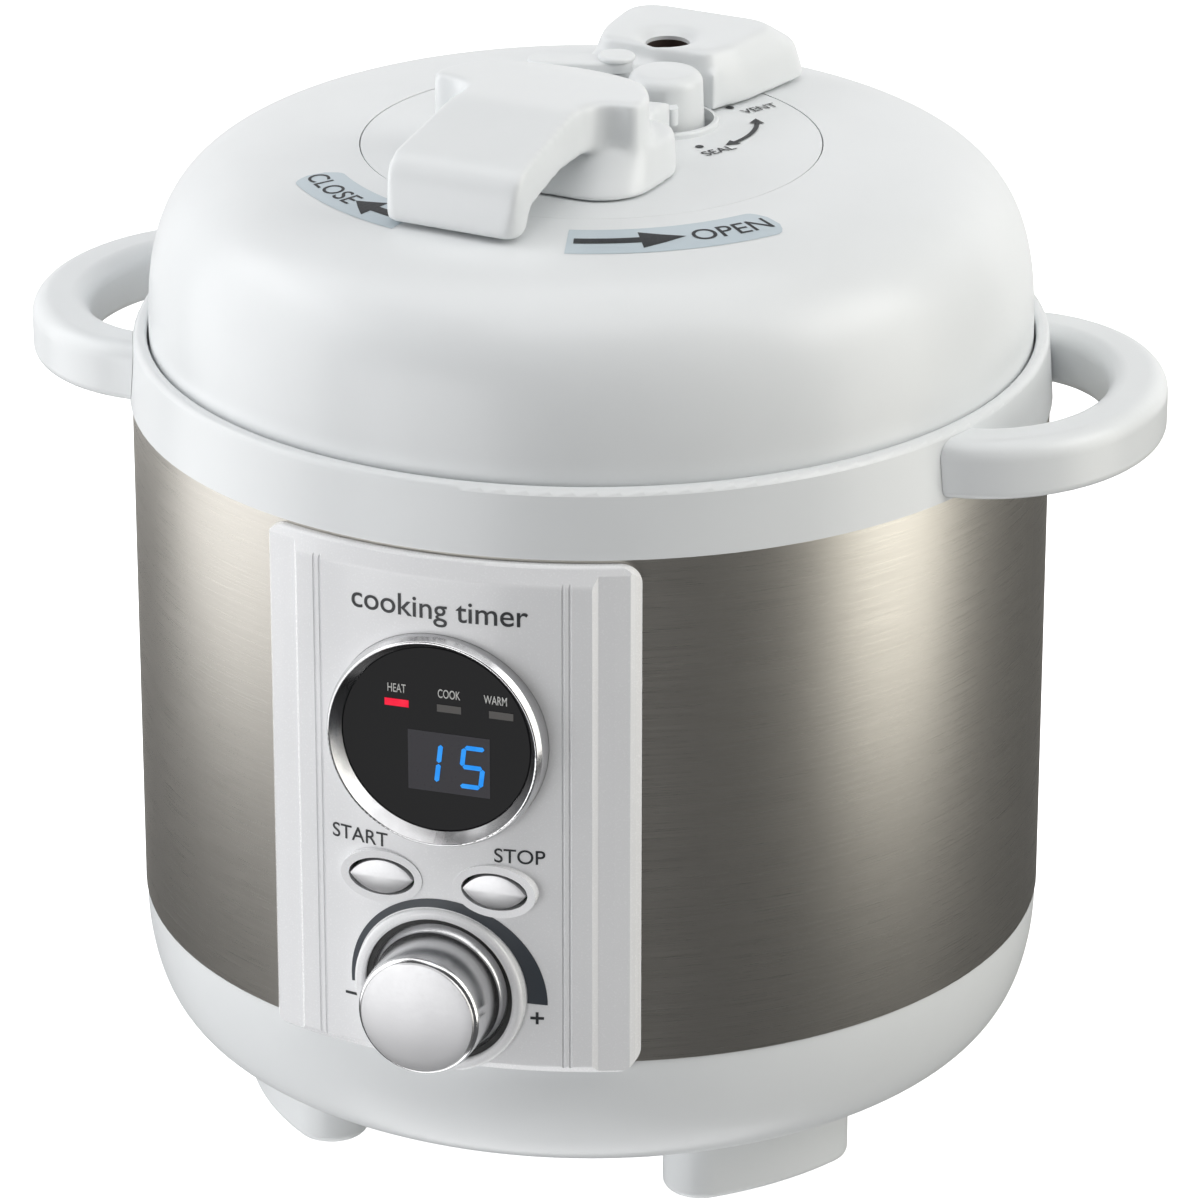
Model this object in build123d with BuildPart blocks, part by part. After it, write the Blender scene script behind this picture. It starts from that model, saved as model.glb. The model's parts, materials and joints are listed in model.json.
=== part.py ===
from build123d import *
from math import acos, cos, degrees, radians, sin, tan
import os

# Electric pressure cooker, about 2.5 litres. Millimetres, +Z up.
# The origin is on the pot's axis, in the plane that the feet stand on; the control panel faces -Y.

# ---------------------------------------------------------------- driving dimensions
JACKET_R = 110.0          # outer radius of the steel jacket
JACKET_T = 0.8
JACKET_LOW = 53.0
JACKET_HIGH = 179.2
WALL = 2.5                # moulded wall thickness

FOOT_R = 76.5             # centre line of the arc-shaped feet
FOOT_W = 18.0
FOOT_ARC = 24.0           # degrees between the centres of a foot's round ends
FOOT_TURNS = (-40, 40, 140, 220)   # middles of the four feet, anticlockwise from +X
PAD_W = 10.0
PAD_ARC = 18.0
PAD_T = 2.0
PAD_PROUD = 0.8           # how far a rubber pad stands out of its foot
BASE_FLOOR = 14.5         # underside of the base housing

COLLAR_TOP = 195.6
COLLAR_IN_R = 106.2       # wall of the channel that the lid's edge stands in
COLLAR_WALL_R = 106.6     # inner face of the collar's side wall
CHANNEL_FLOOR = 188.4
CHANNEL_T = 2.0

SIDE_CENTRE = 100.0       # centre of a side handle's elliptical loop
SIDE_OUT = 140.0
SIDE_HALF = 47.0
SIDE_W = 14.0             # width of the loop seen from above
SIDE_LOW = 180.0
SIDE_HIGH = 194.0
SIDE_SCREW_Z = 184.0
SIDE_SCREW_AZ = (69, 111, 249, 291)

LID_R = 105.67
LID_LOW = 190.0
LID_SPRING = 195.3        # height where the dome starts to curve in
LID_RISE = 45.6
LID_T = 2.4
SEAM_R = 54.75            # round seam between the lid cover and its top disc
SEAM_GAP = 0.3
DISC_TOP = LID_SPRING + LID_RISE

POT_R = 82.0              # outer radius of the inner pot
POT_T = 1.6
POT_FLOOR = 50.2
POT_RIM = 181.2
POT_RIM_R = 90.5
OUTER_R = 87.5            # outer radius of the outer pot
OUTER_T = 1.5
OUTER_FLOOR = 37.0
SHOULDER = 178.0          # where the outer pot flares out under the inner pot's rim
OUTER_FLANGE_R = 101.5
TEETH_LOW = 186.0
TEETH_HIGH = 188.0
TEETH_COUNT = 6
TEETH_ARC = 25.0          # degrees of each tooth, on the pot and on the lid alike
TEETH_PITCH = 360 / TEETH_COUNT
POT_TEETH_R = 94.2
LID_TEETH_R = 97.4
LID_TEETH_LOW = 182.6
LID_TEETH_HIGH = 185.4

SHIELD_R = 92.6
SHIELD_T = 0.6
SHIELD_FLOOR = 30.0
SHIELD_HIGH = 172.0
POST_R = 60.0             # posts and spacers that carry the shield and the outer pot

PLATE_R = 68.0            # cast heater plate
PLATE_LOW = 40.0
PLATE_HIGH = 50.0
ELEMENT_R = 48.0          # centre line of the heating element
ELEMENT_TUBE = 3.5
ELEMENT_Z = 44.5
SENSOR_R = 13.0
SENSOR_TRAVEL = 1.5
BRACKET_FLOOR = 31.4

PANEL_R = 114.0           # curved front face of the control panel
PANEL_LOW = 51.5
PANEL_HIGH = 178.3
PANEL_W = 89.5
PANEL_T = 2.8
WINDOW_W = 64.0           # opening in the jacket behind the panel
WINDOW_HIGH = 171.0
PANEL_FACE_AZ = 18.1      # edge of the face, degrees from the front
PANEL_STEP = 1.1          # how far the strips beside the face stand back from it
PANEL_SIDE_AZ = 24.0
GROOVE_AZ = 14.8          # first of the two fine grooves near each edge of the face
GROOVE_PITCH = 0.8
BOARD_Y = -102.4          # back face of the control board
BOARD_T = 1.6
BOARD_FRONT = BOARD_Y - BOARD_T
BOARD_Z = 105.0
BOARD_W = 52.0
BOARD_H = 92.0

DISPLAY_Z = 134.4
BEZEL_R = 26.0
LENS_R = 22.8
BEZEL_FRONT = 117.6       # how far the bezel's rim stands from the pot's axis
BUTTON_X = 13.7
BUTTON_Z = 98.0
BUTTON_LENGTH = 15.4
BUTTON_HEIGHT = 8.6
BUTTON_TRAVEL = 1.0
KNOB_Z = 71.0
KNOB_R = 14.6
KNOB_FRONT = -130.0
SHAFT_R = 3.0
DIAL_R = 20.5             # raised ring round the knob
DIAL_IN_R = 18.0

POWER_BOARD_Y = 98.0      # back face of the power board, which faces the rear
POWER_BOARD_Z = 100.0
INLET_Z = 40.5
INLET_W = 38.0
INLET_H = 22.0
INLET_END = 112.0

HANDLE_AZ = -9.0          # direction that the lid's grip points in, degrees from the front
GRIP_END = 72.0           # from the pot's axis to the end of the grip
GRIP_HALF = 15.2          # half the grip's width at the hub
GRIP_END_HALF = 17.0
GRIP_UNDER = 240.6        # underside of the grip's end, just over the lid
HANDLE_TOP = 261.8
HUB_FRONT = 28.0
HUB_R = 27.4
HUB_V = -1.1              # the hub's middle, across the handle
REAR_FRONT = -31.5
REAR_END = -72.5
REAR_HALF = 27.0          # half the rear block's width at its back
REAR_WAIST = 20.5         # half its width beside the pressure pin
REAR_NECK = 16.0          # half its width at the front
REAR_TOP = 255.0
REAR_SLOPE = 10.0         # how far the rear block's end leans in by its top
PLINTH_END = 40.0         # flared foot of the hub, under the grip
PLINTH_HALF = 29.0
SPINE_TOP = 251.0
SPINE_HALF = 17.0
VALVE_X = 12.7            # axis of the steam valve, on the lid
VALVE_Y = 18.0
VALVE_POCKET_R = 11.6
VALVE_LIP_R = 12.8
VALVE_CAP_R = 9.5
VALVE_TOP = 254.5
POINTER_AZ = -65.0        # pointer on the valve cap, anticlockwise from +X
VENT_R = 3.5
VENT_BORE = 1.8
VENT_FLANGE_R = 6.0
VENT_LOW = 194.0
VENT_TOP = 246.0
WEIGHT_R = 6.0
PIN_U = -40.5             # pressure pin, along the handle from the pot's axis
PIN_R = 2.5
PIN_HEAD_R = 4.6
PIN_BORE_R = 5.2
PIN_FLARE = 2.2           # depth of the countersink round the pin
PIN_SEAL_R = 4.4
PIN_LOW = 193.6
PIN_TOP = 249.5
PIVOT_U = -23.5           # release lever's pivot, along (u) and across (v) the handle
PIVOT_V = -5.2
PIVOT_R = 1.5
PIVOT_CAP_R = 4.5
LEVER_AZ = -66.0          # direction of the lever's tab from its pivot, in the handle's plan
LEVER_LENGTH = 17.5
LEVER_W = 8.0
LEVER_T = 2.6
LEVER_LOW = 251.1
PLATE_TOP = 202.0         # top of the metal lid's middle
PLATE_UNDER = 200.0
LID_SCREW_R = 2.0
LID_SCREW_TOP = 248.0

# ---------------------------------------------------------------- shared planes and curves
HANDLE = Plane(
    origin=(0, 0, 0),
    x_dir=(sin(radians(HANDLE_AZ)), -cos(radians(HANDLE_AZ)), 0),
    z_dir=(0, 0, 1),
)
HANDLE_SIDE = Plane(origin=(0, 0, 0), x_dir=HANDLE.x_dir, z_dir=(-1) * HANDLE.y_dir)


def front_at(y):
    """Plane facing the user at a given y; its own y axis is height."""
    return Plane(origin=(0, y, 0), x_dir=(1, 0, 0), z_dir=(0, -1, 0))


def radial_plane(radius, azimuth, height):
    """Plane that faces outwards from the pot's axis, azimuth in degrees from the front towards the right."""
    outward = (sin(radians(azimuth)), -cos(radians(azimuth)), 0)
    return Plane(origin=(radius * outward[0], radius * outward[1], height), z_dir=outward)


def in_plan(radius, azimuth):
    """Point in plan, azimuth in degrees from the front towards the right."""
    return (radius * sin(radians(azimuth)), -radius * cos(radians(azimuth)))


def dome_points(radius, rise, last_radius, steps=12):
    """Flat-crowned dome from its vertical edge in to a given radius, as (radius, height) points."""
    points = []
    last_turn = degrees(acos((last_radius / radius) ** 3.5))
    for step in range(steps + 1):
        turn = radians(last_turn * step / steps)
        points.append((radius * cos(turn) ** (2 / 7), LID_SPRING + rise * sin(turn) ** (2 / 2.863)))
    return points


def handle_point(u, v, height):
    """A point given along (u) and across (v) the lid handle, in the pot's own axes."""
    spot = HANDLE.from_local_coords(Vector(u, v, 0))
    return (spot.X, spot.Y, height)


with BuildSketch() as tooth_wedges:
    with PolarLocations(0, TEETH_COUNT):
        Polygon(
            (0, 0),
            (120, -120 * tan(radians(TEETH_ARC / 2))),
            (120, 120 * tan(radians(TEETH_ARC / 2))),
            align=None,
        )

with BuildSketch() as foot_outline:
    for turn in FOOT_TURNS:
        SlotArc(CenterArc((0, 0), FOOT_R, turn - FOOT_ARC / 2, FOOT_ARC), FOOT_W)

with BuildSketch() as pad_outline:
    for turn in FOOT_TURNS:
        SlotArc(CenterArc((0, 0), FOOT_R, turn - PAD_ARC / 2, PAD_ARC), PAD_W)

BASE_CURVE = ((80, BASE_FLOOR), (92, 18.6), (102.6, 25.2), (108.2, 37), (109.6, JACKET_LOW - 0.2))

os.makedirs("parts", exist_ok=True)


# ---------------------------------------------------------------- base housing and feet
with BuildPart() as base_housing:
    with BuildSketch(Plane.XZ):
        with BuildLine():
            Line((0, BASE_FLOOR), (80, BASE_FLOOR))
            Spline(*BASE_CURVE)
            Line(BASE_CURVE[-1], (106.9, JACKET_LOW - 0.2))
            Spline((106.9, JACKET_LOW - 0.2), (105.4, 38), (100.2, 27.2), (90.6, 21), (79, 17))
            Line((79, 17), (0, 17))
            Line((0, 17), (0, BASE_FLOOR))
        make_face()
    revolve(axis=Axis.Z)
    with BuildSketch(Plane.XY.offset(JACKET_LOW - 4)):
        Circle(JACKET_R - JACKET_T - 0.2)
        Circle(106.6, mode=Mode.SUBTRACT)
    extrude(amount=9)
    with BuildSketch(Plane.XY.offset(17)):
        with PolarLocations(POST_R, 3, start_angle=90):
            Circle(5)
    extrude(amount=SHIELD_FLOOR - 17)
    with BuildSketch(Plane.XY.offset(17)):
        with PolarLocations(POST_R, 3, start_angle=90):
            Circle(1.4)
    extrude(amount=SHIELD_FLOOR - 17, mode=Mode.SUBTRACT)
    with BuildSketch(Plane.XY.offset(BASE_FLOOR)):
        with PolarLocations(38, 12):
            SlotOverall(20, 3)
    extrude(amount=WALL, mode=Mode.SUBTRACT)
    with BuildSketch(front_at(125)):
        with Locations((0, INLET_Z)):
            RectangleRounded(INLET_W + 0.3, INLET_H + 0.3, 3.1)
    extrude(amount=35, mode=Mode.SUBTRACT)
    with BuildSketch(front_at(-80)):
        with Locations((0, (PANEL_LOW + JACKET_LOW + 8) / 2)):
            Rectangle(WINDOW_W, JACKET_LOW + 8 - PANEL_LOW)
    extrude(amount=35, mode=Mode.SUBTRACT)
base_housing.part.label = "base_housing"
export_step(base_housing.part, "parts/base_housing.step")

# ---------------------------------------------------------------- four feet and their rubber pads
with BuildPart() as feet:
    with BuildSketch(Plane.XY.offset(PAD_PROUD)):
        add(foot_outline.sketch)
    extrude(amount=BASE_FLOOR + 5 - PAD_PROUD)
    fillet(feet.edges().filter_by_position(Axis.Z, PAD_PROUD - 0.1, PAD_PROUD + 0.1), 2.2)
    with BuildSketch(Plane.XZ):
        with BuildLine():
            Line((0, BASE_FLOOR), (80, BASE_FLOOR))
            Spline(*BASE_CURVE)
            Polyline(BASE_CURVE[-1], (0, JACKET_LOW), (0, BASE_FLOOR))
        make_face()
    revolve(axis=Axis.Z, mode=Mode.SUBTRACT)
    with BuildSketch(Plane.XY):
        add(pad_outline.sketch)
    extrude(amount=PAD_T, mode=Mode.SUBTRACT)
feet.part.label = "feet"
export_step(feet.part, "parts/feet.step")

with BuildPart() as foot_pads:
    with BuildSketch(Plane.XY):
        add(pad_outline.sketch)
    extrude(amount=PAD_T)
foot_pads.part.label = "foot_pads"
export_step(foot_pads.part, "parts/foot_pads.step")

# ---------------------------------------------------------------- steel jacket
with BuildPart() as jacket:
    with BuildSketch(Plane.XY.offset(JACKET_LOW)):
        Circle(JACKET_R)
        Circle(JACKET_R - JACKET_T, mode=Mode.SUBTRACT)
    extrude(amount=JACKET_HIGH - JACKET_LOW)
    with BuildSketch(front_at(-80)):
        with Locations((0, (JACKET_LOW + WINDOW_HIGH) / 2 - 5)):
            Rectangle(WINDOW_W, WINDOW_HIGH - JACKET_LOW + 10)
    extrude(amount=40, mode=Mode.SUBTRACT)
jacket.part.label = "jacket"
export_step(jacket.part, "parts/jacket.step")

# ---------------------------------------------------------------- collar ring
with BuildPart() as collar_ring:
    with BuildSketch(Plane.XZ):
        with BuildLine():
            FilletPolyline(
                (110.6, JACKET_HIGH),
                (109.4, COLLAR_TOP),
                (COLLAR_IN_R, COLLAR_TOP),
                (COLLAR_IN_R, CHANNEL_FLOOR),
                (101.9, CHANNEL_FLOOR),
                (101.9, CHANNEL_FLOOR - CHANNEL_T),
                (COLLAR_WALL_R, CHANNEL_FLOOR - CHANNEL_T),
                (COLLAR_WALL_R, 173.0),
                (109.0, 173.0),
                (109.0, JACKET_HIGH),
                radius=[0, 1.6, 1.0, 0.5, 0.5, 0, 0, 0, 0, 0],
                close=True,
            )
        make_face()
    revolve(axis=Axis.Z)
    for azimuth in SIDE_SCREW_AZ:
        with BuildSketch(radial_plane(100, azimuth, SIDE_SCREW_Z)):
            Circle(1.6)
        extrude(amount=15, mode=Mode.SUBTRACT)
collar_ring.part.label = "collar_ring"
export_step(collar_ring.part, "parts/collar_ring.step")

# ---------------------------------------------------------------- side handles
for side, name in ((-1, "side_handle_left"), (1, "side_handle_right")):
    with BuildPart() as side_handle:
        with BuildSketch(Plane.XY.offset(SIDE_LOW)):
            with Locations((side * SIDE_CENTRE, 0)):
                Ellipse(SIDE_OUT - SIDE_CENTRE, SIDE_HALF)
                Ellipse(SIDE_OUT - SIDE_CENTRE - SIDE_W, SIDE_HALF - SIDE_W, mode=Mode.SUBTRACT)
        extrude(amount=SIDE_HIGH - SIDE_LOW)
        fillet(side_handle.edges().group_by(Axis.Z)[-1], 4.5)
        fillet(side_handle.edges().group_by(Axis.Z)[0], 2.0)
        with BuildSketch(Plane.XZ):
            with BuildLine():
                Polyline((0, 170), (111.33, 170), (109.14, 200), (0, 200), close=True)
            make_face()
        revolve(axis=Axis.Z, mode=Mode.SUBTRACT)
        for azimuth in SIDE_SCREW_AZ:
            with BuildSketch(radial_plane(100, azimuth, SIDE_SCREW_Z)):
                Circle(1.55)
            extrude(amount=18.2, mode=Mode.SUBTRACT)
    side_handle.part.label = name
    export_step(side_handle.part, f"parts/{name}.step")

with BuildPart() as handle_screws:
    for azimuth in SIDE_SCREW_AZ:
        with BuildSketch(radial_plane(COLLAR_WALL_R - 2, azimuth, SIDE_SCREW_Z)):
            Circle(2.2)
        extrude(amount=1.9)
        with BuildSketch(radial_plane(COLLAR_WALL_R - 1, azimuth, SIDE_SCREW_Z)):
            Circle(1.5)
        extrude(amount=12)
handle_screws.part.label = "handle_screws"
export_step(handle_screws.part, "parts/handle_screws.step")

# ---------------------------------------------------------------- outer pot
with BuildPart() as outer_pot:
    with BuildSketch(Plane.XZ):
        with BuildLine():
            FilletPolyline(
                (22, OUTER_FLOOR),
                (OUTER_R, OUTER_FLOOR),
                (OUTER_R, SHOULDER),
                (OUTER_FLANGE_R, SHOULDER),
                (OUTER_FLANGE_R, TEETH_HIGH),
                (98.2, TEETH_HIGH),
                (98.2, TEETH_LOW),
                (100, TEETH_LOW),
                (100, SHOULDER + OUTER_T),
                (OUTER_R - OUTER_T, SHOULDER + OUTER_T),
                (OUTER_R - OUTER_T, OUTER_FLOOR + OUTER_T),
                (22, OUTER_FLOOR + OUTER_T),
                radius=[0, 6, 1.5, 2, 0, 0, 0, 0, 0.5, 3, 4.5, 0],
                close=True,
            )
        make_face()
    revolve(axis=Axis.Z)
    with BuildSketch(Plane.XY.offset(TEETH_LOW)):
        Circle(98.4)
        Circle(POT_TEETH_R, mode=Mode.SUBTRACT)
        add(tooth_wedges.sketch, mode=Mode.INTERSECT)
    extrude(amount=TEETH_HIGH - TEETH_LOW)
    with BuildSketch(Plane.XY.offset(OUTER_FLOOR)):
        with PolarLocations(POST_R, 3, start_angle=90):
            Circle(2.1)
        with Locations(in_plan(ELEMENT_R, 168), in_plan(ELEMENT_R, 192)):
            Circle(4)
    extrude(amount=OUTER_T, mode=Mode.SUBTRACT)
outer_pot.part.label = "outer_pot"
export_step(outer_pot.part, "parts/outer_pot.step")

# ---------------------------------------------------------------- heat shield, spacers and pot screws
with BuildPart() as heat_shield:
    with BuildSketch(Plane.XZ):
        with BuildLine():
            FilletPolyline(
                (32, SHIELD_FLOOR),
                (SHIELD_R, SHIELD_FLOOR),
                (SHIELD_R, SHIELD_HIGH),
                (SHIELD_R - SHIELD_T, SHIELD_HIGH),
                (SHIELD_R - SHIELD_T, SHIELD_FLOOR + SHIELD_T),
                (32, SHIELD_FLOOR + SHIELD_T),
                radius=[0, 5, 0, 0, 4.4, 0],
                close=True,
            )
        make_face()
    revolve(axis=Axis.Z)
    with BuildSketch(Plane.XY.offset(SHIELD_FLOOR)):
        with PolarLocations(POST_R, 3, start_angle=90):
            Circle(2.1)
        with Locations(in_plan(ELEMENT_R, 168), in_plan(ELEMENT_R, 192)):
            Circle(4)
    extrude(amount=SHIELD_T, mode=Mode.SUBTRACT)
heat_shield.part.label = "heat_shield"
export_step(heat_shield.part, "parts/heat_shield.step")

with BuildPart() as pot_spacers:
    with BuildSketch(Plane.XY.offset(SHIELD_FLOOR + SHIELD_T)):
        with PolarLocations(POST_R, 3, start_angle=90):
            Circle(5)
            Circle(2.1, mode=Mode.SUBTRACT)
    extrude(amount=OUTER_FLOOR - SHIELD_FLOOR - SHIELD_T)
pot_spacers.part.label = "pot_spacers"
export_step(pot_spacers.part, "parts/pot_spacers.step")

with BuildPart() as pot_screws:
    with BuildSketch(Plane.XY.offset(OUTER_FLOOR + OUTER_T)):
        with PolarLocations(POST_R, 3, start_angle=90):
            Circle(3.2)
    extrude(amount=1.4)
    with BuildSketch(Plane.XY.offset(OUTER_FLOOR + OUTER_T)):
        with PolarLocations(POST_R, 3, start_angle=90):
            Circle(1.35)
    extrude(amount=-18)
pot_screws.part.label = "pot_screws"
export_step(pot_screws.part, "parts/pot_screws.step")

# ---------------------------------------------------------------- heater plate and element
with BuildPart() as heater_plate:
    with BuildSketch(Plane.XZ):
        with BuildLine():
            FilletPolyline(
                (SENSOR_R + 1.5, PLATE_LOW),
                (PLATE_R, PLATE_LOW),
                (PLATE_R, PLATE_HIGH),
                (SENSOR_R + 1.5, PLATE_HIGH),
                radius=[0, 1.5, 3, 0.5],
                close=True,
            )
        make_face()
    revolve(axis=Axis.Z)
    with BuildSketch(Plane.XZ):
        with Locations((ELEMENT_R, ELEMENT_Z)):
            Circle(ELEMENT_TUBE + 0.1)
        with Locations((ELEMENT_R, (PLATE_LOW + ELEMENT_Z) / 2)):
            Rectangle(2 * ELEMENT_TUBE + 0.2, ELEMENT_Z - PLATE_LOW)
    revolve(axis=Axis.Z, mode=Mode.SUBTRACT)
    with BuildSketch(Plane.XY.offset(OUTER_FLOOR + OUTER_T)):
        with PolarLocations(62.5, 3, start_angle=30):
            Circle(3.4)
    extrude(amount=PLATE_LOW - OUTER_FLOOR - OUTER_T + 0.5)
    with BuildSketch(Plane.XY.offset(OUTER_FLOOR)):
        with PolarLocations(POST_R, 3, start_angle=90):
            Circle(4)
    extrude(amount=4.4, mode=Mode.SUBTRACT)
heater_plate.part.label = "heater_plate"
export_step(heater_plate.part, "parts/heater_plate.step")

element_end = in_plan(ELEMENT_R, 192)
element_run = (-cos(radians(12)), -sin(radians(12)), 0)
ELEMENT_START = Plane(origin=(element_end[0], element_end[1], ELEMENT_Z), z_dir=element_run)
with BuildPart() as heating_element:
    with BuildSketch(ELEMENT_START):
        Circle(ELEMENT_TUBE)
    revolve(axis=Axis.Z, revolution_arc=336)
    with BuildSketch(Plane.XY.offset(ELEMENT_Z)):
        with Locations(in_plan(ELEMENT_R, 168), in_plan(ELEMENT_R, 192)):
            Circle(2.4)
    extrude(amount=-19)
heating_element.part.label = "heating_element"
export_step(heating_element.part, "parts/heating_element.step")

# ---------------------------------------------------------------- thermal sensor under the inner pot
with BuildPart() as sensor_bracket:
    with BuildSketch(Plane.XZ):
        with BuildLine():
            Polyline(
                (4.6, BRACKET_FLOOR),
                (18, BRACKET_FLOOR),
                (18, OUTER_FLOOR - 1.2),
                (28, OUTER_FLOOR - 1.2),
                (28, OUTER_FLOOR),
                (17, OUTER_FLOOR),
                (17, BRACKET_FLOOR + 1),
                (4.6, BRACKET_FLOOR + 1),
                close=True,
            )
        make_face()
    revolve(axis=Axis.Z)
sensor_bracket.part.label = "sensor_bracket"
export_step(sensor_bracket.part, "parts/sensor_bracket.step")

with BuildPart() as thermal_sensor:
    with BuildSketch(Plane.XZ):
        with BuildLine():
            FilletPolyline(
                (0, POT_FLOOR - 0.2),
                (SENSOR_R, POT_FLOOR - 0.2),
                (SENSOR_R, 41.6),
                (SENSOR_R - 1, 41.6),
                (SENSOR_R - 1, 48.4),
                (4, 48.4),
                (4, 26.0),
                (0, 26.0),
                radius=[0, 1.5, 0, 0, 0.5, 0, 0.5, 0],
                close=True,
            )
        make_face()
    revolve(axis=Axis.Z)
thermal_sensor.part.label = "thermal_sensor"
export_step(thermal_sensor.part, "parts/thermal_sensor.step")

with BuildPart() as sensor_spring:
    with BuildLine() as spring_line:
        Helix(pitch=2.6, height=14.2, radius=8, center=(0, 0, BRACKET_FLOOR + 1.6))
    with BuildSketch(Plane(origin=spring_line.line @ 0, z_dir=spring_line.line % 0)):
        Circle(0.5)
    sweep(path=spring_line.line, is_frenet=True)
sensor_spring.part.label = "sensor_spring"
export_step(sensor_spring.part, "parts/sensor_spring.step")

# ---------------------------------------------------------------- inner pot
with BuildPart() as inner_pot:
    with BuildSketch(Plane.XZ):
        with BuildLine():
            FilletPolyline(
                (0, POT_FLOOR),
                (POT_R, POT_FLOOR),
                (POT_R, POT_RIM - POT_T),
                (POT_RIM_R, POT_RIM - POT_T),
                (POT_RIM_R, POT_RIM),
                (POT_R - POT_T, POT_RIM),
                (POT_R - POT_T, POT_FLOOR + 2),
                (0, POT_FLOOR + 2),
                radius=[0, 14, 1, 0.6, 0.6, 2, 12.2, 0],
                close=True,
            )
        make_face()
    revolve(axis=Axis.Z)
inner_pot.part.label = "inner_pot"
export_step(inner_pot.part, "parts/inner_pot.step")

# ---------------------------------------------------------------- electrics in the base and at the back
with BuildPart() as pressure_switch:
    with BuildSketch(Plane.XY.offset(19)):
        with Locations((0, -36)):
            Circle(9)
    extrude(amount=6)
    with BuildSketch(Plane.XY.offset(25)):
        with Locations((0, -36)):
            Circle(5)
    extrude(amount=5)
    with BuildSketch(Plane.XY.offset(20.5)):
        with Locations((0, -48), (0, -24)):
            Rectangle(4.8, 8)
    extrude(amount=0.8)
pressure_switch.part.label = "pressure_switch"
export_step(pressure_switch.part, "parts/pressure_switch.step")

with BuildPart() as thermal_fuse:
    with BuildSketch(Plane(origin=(SHIELD_R + 2.1, 0, 74), z_dir=(0, 0, 1))):
        Circle(2)
    extrude(amount=14)
    with BuildSketch(Plane(origin=(SHIELD_R + 2.1, 0, 64), z_dir=(0, 0, 1))):
        Circle(0.5)
    extrude(amount=34)
thermal_fuse.part.label = "thermal_fuse"
export_step(thermal_fuse.part, "parts/thermal_fuse.step")

with BuildPart() as power_board:
    with BuildSketch(front_at(POWER_BOARD_Y + BOARD_T)):
        with Locations((0, POWER_BOARD_Z)):
            RectangleRounded(64, 74, 2)
            with GridLocations(54, 64, 2, 2):
                Circle(1.6, mode=Mode.SUBTRACT)
    extrude(amount=BOARD_T)
power_board.part.label = "power_board"
export_step(power_board.part, "parts/power_board.step")

with BuildPart() as board_standoffs:
    with BuildSketch(front_at(POWER_BOARD_Y)):
        with Locations((0, POWER_BOARD_Z)):
            with GridLocations(54, 64, 2, 2):
                Circle(2.6)
                Circle(1.2, mode=Mode.SUBTRACT)
    extrude(amount=8.6)
board_standoffs.part.label = "board_standoffs"
export_step(board_standoffs.part, "parts/board_standoffs.step")

with BuildPart() as power_relay:
    with BuildSketch(front_at(POWER_BOARD_Y + BOARD_T + 7.5)):
        with Locations((-12, POWER_BOARD_Z + 12)):
            RectangleRounded(15, 19, 0.8)
    extrude(amount=7.5)
power_relay.part.label = "power_relay"
export_step(power_relay.part, "parts/power_relay.step")

with BuildPart() as power_capacitor:
    with BuildSketch(Plane(origin=(12, POWER_BOARD_Y + BOARD_T + 4, POWER_BOARD_Z + 2), z_dir=(0, 0, 1))):
        Circle(4)
    extrude(amount=20)
    fillet(power_capacitor.edges(), 0.6)
power_capacitor.part.label = "power_capacitor"
export_step(power_capacitor.part, "parts/power_capacitor.step")

with BuildPart() as transformer:
    with BuildSketch(front_at(POWER_BOARD_Y + BOARD_T + 7.8)):
        with Locations((0, POWER_BOARD_Z - 20)):
            RectangleRounded(22, 18, 0.8)
    extrude(amount=7.8)
transformer.part.label = "transformer"
export_step(transformer.part, "parts/transformer.step")

with BuildPart() as power_inlet:
    with BuildSketch(front_at(INLET_END)):
        with Locations((0, INLET_Z)):
            RectangleRounded(INLET_W, INLET_H, 3)
    extrude(amount=16)
    fillet(power_inlet.edges().group_by(Axis.Y)[-1], 1.2)
    with BuildSketch(front_at(INLET_END)):
        with Locations((0, INLET_Z)):
            RectangleRounded(INLET_W - 8, INLET_H - 8, 2)
    extrude(amount=12, mode=Mode.SUBTRACT)
power_inlet.part.label = "power_inlet"
export_step(power_inlet.part, "parts/power_inlet.step")

with BuildPart() as inlet_pins:
    with BuildSketch(front_at(INLET_END - 3)):
        with Locations((-7, INLET_Z), (7, INLET_Z)):
            Circle(1.8)
    extrude(amount=8)
inlet_pins.part.label = "inlet_pins"
export_step(inlet_pins.part, "parts/inlet_pins.step")

# ---------------------------------------------------------------- control panel housing
with BuildSketch() as panel_plan:
    with BuildLine():
        face_left = in_plan(PANEL_R, -PANEL_FACE_AZ)
        face_right = in_plan(PANEL_R, PANEL_FACE_AZ)
        ThreePointArc(face_left, (0, -PANEL_R), face_right)
        Polyline(
            face_right,
            in_plan(PANEL_R - PANEL_STEP, PANEL_FACE_AZ + 0.7),
            in_plan(PANEL_R - PANEL_STEP, PANEL_FACE_AZ + 2.6),
            in_plan(PANEL_R - PANEL_STEP, PANEL_FACE_AZ + 4.4),
            in_plan(PANEL_R - 2 * PANEL_STEP, PANEL_FACE_AZ + 5.1),
            in_plan(JACKET_R, PANEL_SIDE_AZ),
            in_plan(90, PANEL_SIDE_AZ),
            in_plan(90, -PANEL_SIDE_AZ),
            in_plan(JACKET_R, -PANEL_SIDE_AZ),
            in_plan(PANEL_R - 2 * PANEL_STEP, -PANEL_FACE_AZ - 5.1),
            in_plan(PANEL_R - PANEL_STEP, -PANEL_FACE_AZ - 4.4),
            in_plan(PANEL_R - PANEL_STEP, -PANEL_FACE_AZ - 2.6),
            in_plan(PANEL_R - PANEL_STEP, -PANEL_FACE_AZ - 0.7),
            face_left,
        )
    make_face()

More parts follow.
